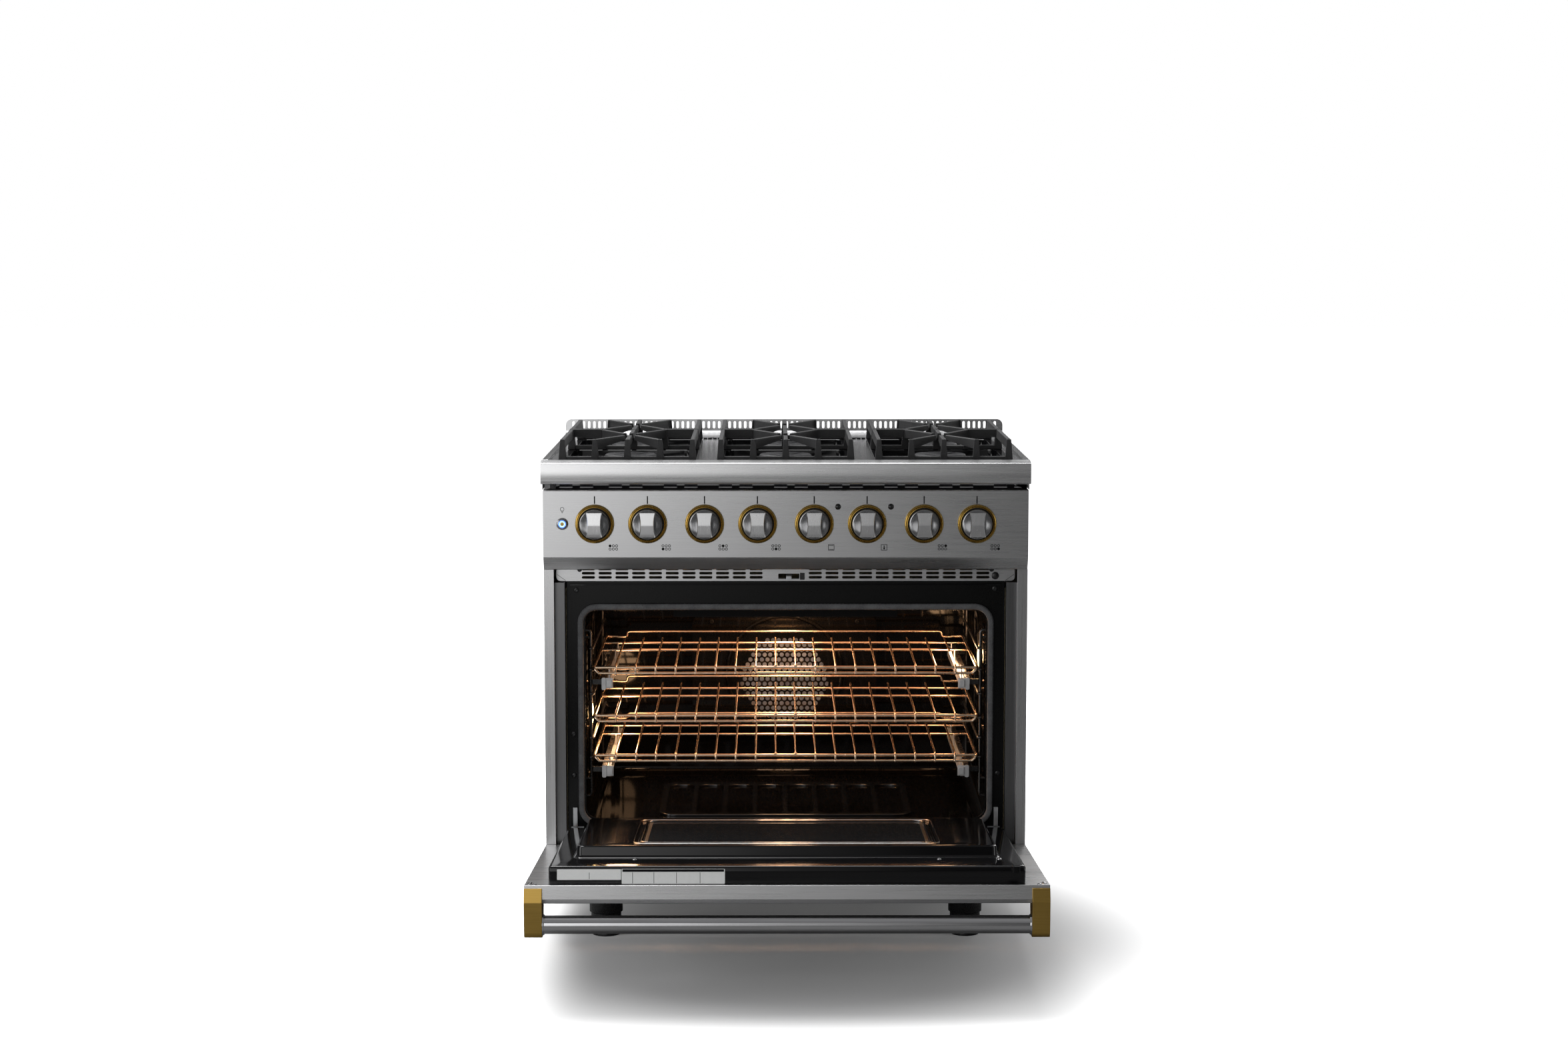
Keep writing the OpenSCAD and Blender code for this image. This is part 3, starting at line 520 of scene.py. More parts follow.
# Slotted trim over the door
SLOT_PITCH = 31.75
ax, ad, az = low("door_vent_trim")
bx, bd, bz = high("door_vent_trim")
plunger_x, plunger_z = [sum(v[k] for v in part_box("door_switch_plunger")) / 2 / MM for k in (0, 2)]
slot_x = [s * (56 + i * SLOT_PITCH) for s in (-1, 1) for i in range(11)]
holes = [stadium(x - 12.5, x + 12.5, z, z + 5, 4) for x in slot_x for z in (694.5, 702.5, 710.5)]
holes = [h for h in holes if not any(abs(p[0] - plunger_x) < 9 and abs(p[1] - plunger_z) < 9 for p in h)]
holes += [rrect(-14, 26, 694, 704, 1.5, 3), circle(plunger_x, plunger_z, 7.3, 20)]
corner = [(x, min(z, bz)) for x, z in rrect(ax, bx, az, bz + 20, 8, 6)]
corner = [p for i, p in enumerate(corner) if i == 0 or p != corner[i - 1]]
trim = Shape().plate([corner] + holes, bd - 2, bd, xz()).block(-14, 26, ad, bd - 2, az, az + 2)
trim.lathe([(2, az + 2), (2, 705), (0, 705)], (6, 562, 0), "z", 12)
trim.piece("door_vent_trim_slotted", brushed, replaces=["door_vent_trim"], smooth=30)
# Thin black lines along the folds at the trim's ends: painted shade in the creases.
painted_fold_shade = Shape()
for s in (-1, 1):
    painted_fold_shade.tube([(s * 432.5, bd, 702.5), (s * 416.5, bd, 691)], 0.35, 6)
painted_fold_shade.piece("trim_end_painted_crease_shade", ink, slot="stainless")
Shape().block(27, 36, bd, bd + 1.2, 692.5, 705.5).piece(
    "latch_cover", satin_black, slot="black_plastic", bevel=0.3)
FRAME_D = 575
heads = Shape()
for x, z in ((-390, 712), (390, 712)):
    screw(heads, x, bd, z, 4.5)
for x, z in ((-397, 671), (397, 674), (-404, 394), (-404, 314), (405, 318)):
    screw(heads, x, FRAME_D, z, 5.0)
heads.piece("front_screws", satin_black, slot="black_plastic")
DOME = [(7.2, 560), (7.2, 587), (6.6, 588.6), (5, 589.6), (2.5, 590), (0, 590)]
Shape().lathe(DOME, (plunger_x, 0, plunger_z), "d", 28).piece(
    "door_switch_dome", satin_black, "door_switch_plunger", ["door_switch_plunger"])

# Porcelain frame round the oven's mouth
f0, f1 = low("front_frame"), high("front_frame")
mouth = rrect(-381, 381, 231, 632, 22, 8)
Shape().plate([box(f0[0], f1[0], f0[2], f1[2]), mouth], f0[1], f1[1], xz()).piece(
    "porcelain_front_frame", frame_black, replaces=["front_frame"], bevel=0.7)
Shape().tube([(-409, f1[1] + 0.3, 682), (409, f1[1] + 0.3, 682)], 1.3, 10).piece(
    "front_frame_top_bead", porcelain, slot="black_porcelain")

# Levelling feet, with a wide collar under each leg
LEGS = [(x, d) for d in (550, 70) for x in (-346, 346)]
FOOT = [(0, 0), (27, 0), (29, 1.8), (29, 9), (28.3, 10.2), (28.3, 11.4), (28.9, 12.4), (28.9, 43), (28, 44),
        (12, 44), (12, 131), (11, 132), (0, 132)]
for k, (x, d) in enumerate(LEGS, 1):
    name = "foot_%d" % k
    Shape().lathe(FOOT, (x, d, 0), "z", 48).piece("levelling_" + name, satin_black, name, [name])

# ---------------------------------------------------------------- control panel
PANEL_D = 642
ALL_KNOB_X = sorted(BURNER_KNOB_X + OVEN_KNOB_X)
BUTTON_X = sum(v.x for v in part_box("light_button")) / 2 / MM
p0, p1 = low("control_panel"), high("control_panel")
SHEET = 1.6
FOLD = [(590, 0), (626, 0), (628.6, 1.4), (641, 22.2), (641.9, 25), (640.3, 25), (639.6, 23), (627.4, 2.5),
        (626, 1.6), (590, 1.6)]
# The lower fold is its own piece, in a lighter copy of the stainless: painted light.
Shape().plate([[(d, p0[2] + h) for d, h in FOLD]], p0[0], p1[0], yz()).piece(
    "control_panel_bevel", door_steel_painted_light, slot="stainless", smooth=25)
panel = Shape()
panel.plate([[(642, p1[2] - 8), (642, p1[2] - 1.6), (640.4, p1[2]), (590, p1[2]), (590, p1[2] - 1.6),
              (640.4, p1[2] - 1.6), (640.4, p1[2] - 8)]], p0[0], p1[0], yz())
holes = [circle(x, KNOB_Z, 12, 24) for x in ALL_KNOB_X] + [circle(BUTTON_X, KNOB_Z, 8.05, 24)]
panel.plate([box(p0[0], p1[0], p0[2] + 25, p1[2] - 8)] + holes, PANEL_D - SHEET, PANEL_D, xz())
cheek = [(590, p0[2] + SHEET), (626, p0[2] + SHEET), (640.4, p0[2] + 26), (640.4, p1[2] - SHEET),
         (590, p1[2] - SHEET)]
for x in (p0[0], p1[0] - SHEET):
    panel.plate([cheek], x, x + SHEET, yz())
panel.piece("control_panel_face", brushed, replaces=["control_panel"], smooth=25)
BEZEL = [(30.4, PANEL_D), (36.3, PANEL_D), (36.5, 644.5), (36.2, 646.2), (35.2, 647.6), (33.6, 648.2),
         (32.8, 647.5), (32.3, 648.6), (31.8, 649.8), (31.0, 650), (30.4, 649.2)]
# Matt black rings inside the bezels, behind each knob's skirt: painted shadow.
bezels, painted_knob_shadows = Shape(), Shape()
for x in ALL_KNOB_X:
    bezels.lathe(BEZEL, (x, 0, KNOB_Z), "d", 72, closed=True)
    painted_knob_shadows.lathe(box(4.5, 30.35, PANEL_D, 643.2), (x, 0, KNOB_Z), "d", 48, closed=True)
bezels.piece("brass_bezels", bezel_brass, replaces=["knob_bezels"], smooth=38)
painted_knob_shadows.piece("knob_shadow_rings", matt_black, slot="black_plastic")


SKIRT = [(4.3, 644.5), (26.5, 644.5), (28.1, 645.6), (28.25, 648), (28.2, 655), (27.5, 656.4), (26.3, 656.8),
         (24, 655.4), (18, 653.6), (0, 652.5)]
SKIRT_BORE = [(0, 650.5), (4.3, 650.5), (4.3, 644.5)]
GRIP_R = 27.3
GRIP_BASE_D = 651.0
GRIP_STEPS = 24


def knob_shape(x):
    """A grip bar, waisted and crowned, and the turned skirt behind it."""
    skirt = Shape()
    for profile in (SKIRT, SKIRT_BORE):
        skirt.lathe(profile, (x, 0, KNOB_Z), "d", 64)
    grip = Shape()
    side = [(-1, GRIP_BASE_D), (-1, 669.7), (-0.93, 670.9)]
    across = side + [(-k, t) for k, t in reversed(side)]
    rows = []
    for j in range(-1, GRIP_STEPS + 2):
        v = max(-1.0, min(1.0, 2 * j / GRIP_STEPS - 1))
        wide = 12.3 + 2.9 * v * v
        crown = 1.7 * abs(v) + 1.5 * max(0.0, abs(v) - 0.8)
        row = []
        for k, t in across:
            px = k * wide
            z = v * (math.sqrt(GRIP_R ** 2 - px ** 2) - 0.6 * (t > 668))
            d = GRIP_BASE_D if j in (-1, GRIP_STEPS + 1) or t < 660 else t - crown
            row.append(place(x + px, d, KNOB_Z + z))
        rows.append(grip.ring(row))
    for a, b in zip(rows, rows[1:]):
        grip.bridge(a, b, closed=False)
    return grip, skirt


KNOBS = [("burner_knob_%d" % k, x) for k, x in enumerate(BURNER_KNOB_X, 1)]
KNOBS += list(zip(("oven_mode_knob", "oven_temp_knob"), OVEN_KNOB_X))
for name, x in KNOBS:
    grip, skirt = knob_shape(x)
    grip.piece(name + "_grip", knob_steel, name, [name], smooth=22)
    skirt.piece(name + "_skirt", skirt_steel, name, slot="stainless", smooth=40)

# Printed marks: pointer lines and pictograms, as raised ink
marks = Shape()
INK0, INK1 = PANEL_D, PANEL_D + 0.15


def print_mark(*outlines):
    marks.plate(outlines, INK0, INK1, xz())


def ink_box(x0, x1, z0, z1):
    print_mark(box(x0, x1, z0, z1))


for x in ALL_KNOB_X:
    ink_box(x - 1.1, x + 1.1, KNOB_Z + 37.5, KNOB_Z + 52)
FILLED = [(0, 0), (0, 1), (1, 0), (1, 1), (2, 0), (2, 1)]
for x, filled in zip(BURNER_KNOB_X, FILLED):
    for col in range(3):
        for row in range(2):
            cx, cz = x + 34.7 + (col - 1) * 6.1, KNOB_Z - 41.5 - row * 6.0
            hole = [] if (col, row) == filled else [circle(cx, cz, 1.55, 20)]
            print_mark(circle(cx, cz, 2.6, 20), *hole)
SYMBOL_X = [x + 32 for x in OVEN_KNOB_X]
for x in SYMBOL_X:
    print_mark(rrect(x - 5.8, x + 5.8, KNOB_Z - 50.2, KNOB_Z - 38.8, 0.4, 2),
               rrect(x - 4.8, x + 4.8, KNOB_Z - 49.2, KNOB_Z - 39.8, 0.2, 2))
x = SYMBOL_X[0]
ink_box(x - 4.2, x + 4.2, KNOB_Z - 41.4, KNOB_Z - 40.6)
ink_box(x - 4.2, x + 4.2, KNOB_Z - 48.6, KNOB_Z - 47.8)
x = SYMBOL_X[1]
ink_box(x - 0.9, x + 0.9, KNOB_Z - 46, KNOB_Z - 41)
print_mark(circle(x, KNOB_Z - 46.8, 1.6, 16))
bulb_z = KNOB_Z + 27.5
print_mark(circle(BUTTON_X, bulb_z, 3.9, 24), circle(BUTTON_X, bulb_z, 3.1, 24))
for side in (-1, 1):
    ink_box(*sorted((BUTTON_X + side * 1.0, BUTTON_X + side * 1.7)), bulb_z - 5.2, bulb_z - 3.5)
ink_box(BUTTON_X - 1.5, BUTTON_X + 1.5, bulb_z - 5.6, bulb_z - 5.0)
ink_box(BUTTON_X - 1.1, BUTTON_X + 1.1, bulb_z - 7.2, bulb_z - 6.4)
marks.piece("panel_marks", ink, slot="black_plastic")

# Lit button in its ring
BUTTON_PARTS = {
    "button_ring": (polished, [(8.1, PANEL_D), (11.3, PANEL_D), (11.3, 643.4), (10.4, 644.6), (9.2, 645),
                               (8.1, 644.2)]),
    "light_button_body": (knob_steel, [(0, 626), (7.95, 626), (7.95, 646.4), (7.4, 647.2), (5.9, 647.4),
                                       (5.9, 645), (0, 645)]),
    "light_button_led": (led, [(5.75, 645.1), (7.3, 647.25), (7.3, 648), (5.75, 648)]),
    "light_button_led_inner": (led_core, [(3.7, 645.05), (5.7, 645.05), (5.7, 647.7), (3.7, 647.5)]),
    "light_button_centre": (bracket_brass, [(0, 645.05), (3.6, 645.05), (3.6, 646.6), (3.2, 647),
                                            (0, 647.1)])}
for name, (mat, profile) in BUTTON_PARTS.items():
    Shape().lathe(profile, (BUTTON_X, 0, KNOB_Z), "d", 40 if name == "light_button_centre" else 48,
                  closed=profile[0][0] > 0).piece(
        name, mat, "root" if name == "button_ring" else "light_button",
        ["light_button"] if name == "light_button_body" else (), slot="button_metal")

# Indicator lamps
lamps = Shape()
for x in (97.5, 196.5):
    lamps.lathe([(5.6, PANEL_D), (5.6, 642.8), (5.0, 643.2), (4.4, 644.8), (2.6, 646.3), (0, 646.9)],
                (x, 0, KNOB_Z + 32), "d", 28)
lamps.piece("indicator_lamps", satin_black, slot="black_plastic")

# ---------------------------------------------------------------- cooktop
COLUMN_X = (-297, 0, 297)
ROW_D = (483, 217)
DECK_Z = 920
SEAM_X = (-148.5, 148.5)
joints_and_louvre_shade = Shape()
for x in SEAM_X:
    joints_and_louvre_shade.block(x - 28, x + 28, 76.0, 77.2, DECK_Z - 1.5, DECK_Z + 0.05)
    # Small black blocks at the deck's rear stand in for the dark louvre openings: painted shade.
    for dx in (-14.5, -5, 5, 14.5):
        joints_and_louvre_shade.block(x + dx - 3.8, x + dx + 3.8, 70, 73, DECK_Z, DECK_Z + 2.4)
joints_and_louvre_shade.piece("deck_joint_lines_and_louvre_shade", ink, slot="black_plastic")

# Double bowls: each well steps down to a flat bottom and up to its burner's seat
WELL = ((0, 16, 921.4), (0.8, 15.5, 920.6), (1.8, 15, 905), (3.5, 14, 900), (7, 12, 898), (36, 40, 898))
SEAT = ((62, 899.5), (58, 902), (44.5, 902))
WELL_D = ((104, 334), (366, 598))
bowls = Shape()
for x in COLUMN_X:
    outlines = [rrect(x - 128, x + 128, low("burner_bowls")[1], high("burner_bowls")[1], 10, 6)]
    outlines += [rrect(x - 116, x + 116, d0, d1, 16, 6) for d0, d1 in WELL_D]
    bowls.plate(outlines, DECK_Z + 0.1, DECK_Z + 1.5, xy())
    for (d0, d1), d in zip(WELL_D, reversed(ROW_D)):
        rings = [(rrect(x - 116 + i, x + 116 - i, d0 + i, d1 - i, r, 6), z) for i, r, z in WELL]
        rings += [(circle(x, d, r, 28, -math.pi / 2), z) for r, z in SEAT]
        bowls.loft(rings, xy(), cap0=False)
bowls.piece("porcelain_bowls", porcelain, replaces=["burner_bowls"], smooth=40)

# Burners: a toothed brass base, an enamelled cap with four low ribs, and an igniter
BASE = [(0, 884), (28, 884), (28, 899), (43.5, 899), (44, 900), (44, 906), (40, 907), (38.5, 911), (0, 911)]
CAP = [(0, 911.1), (43, 911.1), (49, 912.2), (50.6, 914), (51, 917), (50.4, 920), (48.6, 922.4), (46, 923.6),
       (42, 923.2), (26, 921.4), (10, 920.6), (0, 920.5)]
IGNITER = [(0, 898), (4.5, 898), (4.5, 901), (3.2, 902), (3.2, 914), (2.4, 916), (0, 916)]
IGNITER_TIP = [(0, 916), (1.3, 916), (1.3, 919.5), (0.6, 920.6), (0, 920.8)]
BOWL_SCREW = [(0, 898), (2.6, 898), (3.8, 899), (3.8, 900.2), (2.6, 901.2), (0, 901.4)]
TOOTH = [(r, w, z) for r, z in ((37.5, 906.5), (43, 906.5), (37.5, 911), (41.5, 911)) for w in (-1.6, 1.6)]
RIB = [(14, -1, 920.2), (14, 1, 920.2), (44, -2.4, 920.2), (44, 2.4, 920.2), (14, 0, 921.3), (43.5, 0, 924)]
TEETH = 30


def spoke(shape, x, d, angle, corners):
    """A block whose corners are (distance from the burner's axis, sideways, Z)."""
    c, s = math.cos(angle), math.sin(angle)
    shape.hull([(x + r * c - w * s, d + r * s + w * c, z) for r, w, z in corners])


bases, caps, igniters, tips = Shape(), Shape(), Shape(), Shape()
for x, d in [(x, d) for x in COLUMN_X for d in ROW_D]:
    bases.lathe(BASE, (x, d, 0), "z", 60)
    caps.lathe(CAP, (x, d, 0), "z", 72)
    for k in range(TEETH):
        spoke(bases, x, d, 2 * math.pi * k / TEETH, TOOTH)
    for k in range(4):
        spoke(caps, x, d, math.radians(45 + 90 * k), RIB)
    igniter_at = (x - 52 * math.cos(math.radians(35)), d + 52 * math.sin(math.radians(35)), 0)
    igniters.lathe(IGNITER, igniter_at, "z", 20)
    tips.lathe(IGNITER_TIP, igniter_at, "z", 14).lathe(BOWL_SCREW, (x + 60, d - 40, 0), "z", 18)
bases.piece("brass_burner_rings", brass, replaces=["burner_bases"], bevel=0.25, smooth=35)
caps.piece("enamelled_caps", cap_black, replaces=["burner_caps"], smooth=40)
igniters.piece("igniter_bodies", ceramic, slot="control_plastic")
tips.piece("igniter_tips", polished, slot="galvanised_steel")


def grate_shape(x, mid_d, sign):
    """A cast grate: tapered legs, side rails, low ties and six fingers towards its burner."""
    s = Shape()
    top, base = 961.0, 921.6
    length = 262
    half = 122
    burner_v = 131

    def at(px, v, z):
        return (x + px, mid_d + sign * v, z)

    def leg(px, v, step, foot=7.2, wide=4.2):
        rows = ((v, foot, base), (v + step * 12, foot, base), (v + step * 0.6, wide + 0.9, top - 15),
                (v + step * 6, wide, top), (v + step * 12, wide, top))
        s.hull([at(px + k * w, along, z) for along, w, z in rows for k in (-1, 1)])

    def bar(x0, v0, x1, v1, h0=17, h1=17, w_top=3.6, w_low=4.8):
        run = math.hypot(x1 - x0, v1 - v0)
        nx, nv = -(v1 - v0) / run, (x1 - x0) / run
        s.hull([at(px + nx * w, v + nv * w, z) for px, v, h in ((x0, v0, h0), (x1, v1, h1))
                for w, z in ((w_top, top), (-w_top, top), (w_low, top - h), (-w_low, top - h))])

    for px in (-half, -half / 2, 0, half / 2, half):
        leg(px, 0, 1)
        leg(px, length, -1)
    for side in (-1, 1):
        bar(side * half, 6, side * half, length - 6)
        bar(side * half, 6, side * half / 2, 6, 15, 15)
        for v in (6, length - 6):
            reach = math.hypot(half / 2, burner_v - v)
            k = (reach - 27) / reach
            bar(side * half / 2, v, side * half / 2 * (1 - k), v + (burner_v - v) * k, 18, 9)
    for v0, v1 in ((6, burner_v - 27), (length - 6, burner_v + 27)):
        bar(0, v0, 0, v1, 18, 10)
    for v in (5, length - 5):
        section = ((-3.5, 0), (3.5, 0), (-2.6, 7.5), (2.6, 7.5))
        s.hull([at(px, v + dv, base + dz) for px in (-half, half) for dv, dz in section])
    return s


for k, x in enumerate(COLUMN_X):
    for number, mid_d, sign in ((k + 1, 352, 1), (k + 4, 348, -1)):
        name = "grate_%d" % number
        grate_shape(x, mid_d, sign).piece("cast_" + name, iron, name, [name], bevel=1.1, smooth=50)

# Island trim: folded sheet with a row of upright slots
TRIM_SLOTS = 82
TRIM_PITCH = 10.85
trim_x = [(i - (TRIM_SLOTS - 1) / 2) * TRIM_PITCH for i in range(TRIM_SLOTS)]
slots = [stadium(x - 2.7, x + 2.7, 937, 952, 4) for x in trim_x]


def riser(a, b, t):
    """The trim's slotted face leans back as it rises."""
    return place(a, 4.8 + t + (956 - b) * 0.085, b)


turns = [k * math.pi / 12 for k in range(7)]
rise_outline = [(-HALF_W, 930), (HALF_W, 930), (HALF_W, 944)]
rise_outline += [(HALF_W - 12 + 12 * math.cos(a), 944 + 12 * math.sin(a)) for a in turns[1:]]
rise_outline += [(-HALF_W + 12 - 12 * math.sin(a), 944 + 12 * math.cos(a)) for a in turns]
trim = Shape().plate([rise_outline] + slots, -1.2, 0, riser)
fold_line = [(76, 918.2), (76, 920), (36, 920), (28, 922.2), (12, 929.2), (7, 932.2), (5.8, 932.2),
             (11.4, 927.6), (27.4, 920.4), (35.6, 918.2)]
trim.plate([fold_line], -HALF_W, HALF_W, yz())
for x in (-HALF_W, HALF_W - 1.5):
    trim.plate([[(76, 914), (76, 920), (36, 920), (7, 932), (6, 944), (2, 944), (2, 914)]], x, x + 1.5, yz())
trim.piece("slotted_island_trim", brushed, replaces=["island_trim"], smooth=30)
trim_screws = Shape()
for x in (-440, *SEAM_X, 440):
    screw(trim_screws, x, 56, DECK_Z, 4.0, "z")
trim_screws.piece("island_trim_screws", polished, slot="stainless")

# ---------------------------------------------------------------- oven
GASKET_D = 580.6
GASKET_STEP = 2.0
GASKET_SIDES = 18
outline = rrect(-389.5, 389.5, 222, 640, 31, 16)
dense = []
for i, p in enumerate(outline):
    q = outline[(i + 1) % len(outline)]
    steps = max(1, round(math.dist(p, q) / GASKET_STEP))
    dense += [(p[0] + (q[0] - p[0]) * k / steps, p[1] + (q[1] - p[1]) * k / steps) for k in range(steps)]


def braided(i):
    """The gasket's section at its i-th point: a soft square with the plaits running round it."""
    pts = []
    for k in range(GASKET_SIDES):
        a = 2 * math.pi * k / GASKET_SIDES
        plait = math.cos(3 * a + i * 0.9) * math.cos(3 * a - i * 0.9)
        c, s = math.cos(a), math.sin(a)
        r = (1 + 0.055 * plait) * (abs(c) ** 3 + abs(s) ** 3) ** (-1 / 3)
        pts.append((5.6 * c * r, 5.5 * s * r))
    return pts


Shape().tube([(x, GASKET_D, z) for x, z in dense], 0, closed=True, section=braided).piece(
    "braided_gasket", braid, replaces=["oven_gasket"], smooth=70)

# Cavity: one porcelain shell with round inner corners
CAV_W, CAV_Z0, CAV_Z1, CAV_D0, CAV_D1 = 385, 222, 641, 80, 572


def cavity_ring(inset, r):
    return rrect(-CAV_W + inset, CAV_W - inset, CAV_Z0 + inset, CAV_Z1 - inset, r, 8)


rings = [(cavity_ring(-1.9, 25), CAV_D0 - 1.9), (cavity_ring(-1.9, 25), CAV_D1 - 0.1),
         (cavity_ring(0, 24), CAV_D1 - 0.1)]
for a in turns:
    bend = 1 - math.cos(a)
    rings.append((cavity_ring(14 * bend, 24 - 6 * bend), CAV_D0 + 14 * (1 - math.sin(a))))
Shape().loft(rings, xz()).piece("oven_cavity_shell", speckled, replaces=["oven_cavity"], smooth=40)

# Pressed relief of the oven floor: a raised field with eight channels
channels = [rrect(x, x + 50, 226, 506, 20, 6) for x in [-233 + k * 59.4 for k in range(8)]]
Shape().plate([rrect(-245, 245, 200, 520, 34, 7)] + channels, CAV_Z0, CAV_Z0 + 4.5, xy()).piece(
    "oven_floor_relief", relief_black, slot="black_porcelain", bevel=3.2, segments=4, smooth=60)
walls = Shape()
for s in (-1, 1):
    for d0, d1 in ((168, 330), (410, 512)):
        outlines = [rrect(d0, d1, 280, 590, 30, 6), rrect(d0 + 10, d1 - 10, 290, 580, 22, 6)]
        walls.plate(outlines, 0, -s * 2.0, yz(s * CAV_W))
walls.piece("oven_wall_beads", speckled, slot="black_porcelain", bevel=0.9, segments=3, smooth=60)

# Fan cover: pressed disc with round holes
FAN_X, FAN_Z = 0.0, JOINTS["fan_spin"]["pos_m"][2] / MM
b0, b1 = low("fan_baffle"), high("fan_baffle")
COVER_D = b1[1]
HOLE_PITCH = 11.7
DISC_R = 90
holes = []
for j in range(-8, 9):
    for i in range(-9, 10):
        x = (i + (abs(j) % 2) / 2) * HOLE_PITCH
        z = j * HOLE_PITCH * math.sin(math.radians(60))
        if math.hypot(x, z) < DISC_R:
            holes.append(circle(FAN_X + x, FAN_Z + z, 4.5, 12, math.pi / 12))
cover = Shape()
cover.plate([rrect(b0[0], b1[0], b0[2], b1[2], 20, 8)] + holes, COVER_D - 1.2, COVER_D - 0.1, xz())
for x in (b0[0] + 0.5, b1[0] - 2.5):
    for z in (FAN_Z - 80, FAN_Z + 90):
        cover.block(x, x + 2, CAV_D0, COVER_D - 1, z, z + 20)
cover.piece("perforated_fan_cover", speckled, replaces=["fan_baffle"], smooth=30)
angles = [math.radians(-25 + 230 * k / 60) for k in range(61)]
arc = [(FAN_X + 118 * math.cos(a), COVER_D + 1.2, FAN_Z + 14 + 118 * math.sin(a)) for a in angles]
Shape().tube(arc, 4.6, 14).piece("fan_cover_ring", speckled, slot="black_porcelain", smooth=60)
Shape().lathe(box(12, 93, 80.4, 81.4), (FAN_X, 0, FAN_Z), "d", 64, closed=True).piece(
    "fan_motor_plate", zinc, slot="galvanised_steel")
cover_screws = Shape()
for x in (-150, 150):
    for z in (b0[2] + 14, b1[2] - 14):
        screw(cover_screws, x, COVER_D, z, 4.5)
cover_screws.piece("fan_cover_screws", burner_black, slot="galvanised_steel")

# Oven lamps: ribbed lit covers with a metal rim
WALL_LAMPS = ((-1, 373, 399), (1, 388, 515))
ROOF_LAMP_D = 180
LAMP_RIM = [(23.6, 0), (28, 0), (27.6, 2.4), (25.6, 3.8), (23.6, 2.8)]
WALL_LENS = [(0, -27), (14, -27), (14, 0), (23.5, 0), (23, 2.5), (19, 4.4), (17.5, 3.9), (15, 5.3), (13, 4.6),
             (10, 5.9), (8, 5.1), (4, 6), (0, 6)]
ROOF_LENS = [(0, -26), (14, -26), (14, 0), (23.5, 0), (23, 2.5), (19, 4.4), (17, 3.9), (13, 5.4), (8, 5),
             (0, 6)]
glass, rims = Shape(), Shape()
lamp_places = [(WALL_LENS, s * CAV_W, s, (0, d, z), "x") for s, d, z in WALL_LAMPS]
lamp_places.append((ROOF_LENS, CAV_Z1, 1, (0, ROOF_LAMP_D, 0), "z"))
for lens, face, s, centre, axis in lamp_places:
    glass.lathe([(r, face - s * t) for r, t in lens], centre, axis, 48)
    rims.lathe([(r, face - s * t) for r, t in LAMP_RIM], centre, axis, 48, closed=True)
glass.piece("oven_lamp_covers", lamp_glow, replaces=["oven_lamps"], smooth=50)
rims.piece("oven_lamp_rims", polished, slot="galvanised_steel", smooth=50)

# Wire ladders that carry the racks
ladders = Shape()
POST_X, RUNG_X = 374, 369
RACK_Z = (349, 426, 519)
RUNG_Z = [z - 5.7 for z in sorted(RACK_Z + (387, 472, 560))]
for s in (-1, 1):
    for d in (150, 530):
        ladders.tube(fillet([(s * CAV_W, d, 266), (s * POST_X, d, 266), (s * POST_X, d, 588),
                             (s * CAV_W, d, 588)], 8), 3, 12)
        for z in (300, 575):
            ladders.tube([(s * POST_X, d, z), (s * CAV_W, d, z)], 2.5, 10)
    for z in RUNG_Z:
        ladders.tube(fillet([(s * (POST_X + 1), 136, z), (s * RUNG_X, 136, z), (s * RUNG_X, 544, z),
                             (s * (POST_X + 1), 544, z)], 3, 3), 2.5, 12)
ladders.piece("wire_ladders", ladder_black, replaces=["rack_ladders"], smooth=60)

WIRE_START = 196
WIRE_PITCH = 38.2
FRAME_R, CROSS_R, WIRE_R = 3.0, 2.7, 2.0
TOP_STUD = [(0, 1), (2.6, 1.6), (3.1, 3.8), (2.2, 5.9), (0, 6.2)]
FRONT_STUD = [(0, -14), (2.2, -13), (2.8, -10.5), (2.2, -8), (0, -7.4)]
GLIDE_CHANNEL = [(0, -41), (7.5, -41), (7.5, -39.2), (1.6, -39.2), (1.6, -22.8), (7.5, -22.8), (7.5, -21),
                 (0, -21)]
GLIDE_HOOK = [(0, -22), (8, -22), (8, -1), (6, 1.5), (2, 1.5), (0, -1)]


def rack_shape(z):
    """A wire rack: bent side rods, cross bars, a raised back stop and eighteen lengthwise wires."""
    s = Shape()
    side, back, front = 366, 143, 557
    for k in (-1, 1):
        s.tube(fillet([(k * (side - 24), back, z), (k * side, back, z), (k * side, 548, z),
                       (k * side, 556, z - 2.5), (k * (side - 9), 556, z - 10.5)], 9, 5), FRAME_R, 12)
    bars = ((side, 235, 0, CROSS_R), (side, 330, 0, CROSS_R), (side - 2, front - 3, 0, FRAME_R),
            (side - 8, front - 1, 10.5, CROSS_R))
    for reach, d, drop, r in bars:
        s.tube([(-reach, d, z - drop), (reach, d, z - drop)], r, 12)
    stop = [(side, -1), (side - 43, -1), (side - 43, 10)]
    stop = [(-x, back, z + h) for x, h in stop] + [(x, back, z + h) for x, h in reversed(stop)]
    s.tube(fillet(stop, 6, 5), CROSS_R, 12)
    for i in range(18):
        x = (i - 8.5) * WIRE_PITCH
        if i in (8, 9):
            s.tube([(x, WIRE_START, z + 4), (x, front - 3, z + 4)], WIRE_R, 10)
            s.lathe([(r, z + h) for r, h in TOP_STUD], (x, front - 3, 0), "z", 12)
            continue
        wire = [(WIRE_START, 4), (front - 5, 4), (front + 0.9, 2), (front + 0.9, -8.5), (front - 1, -11.5)]
        s.tube(fillet([(x, d, z + h) for d, h in wire], 4.5, 4), WIRE_R, 10)
        s.lathe([(r, z + h) for r, h in FRONT_STUD], (x, front, 0), "z", 12)
    return s


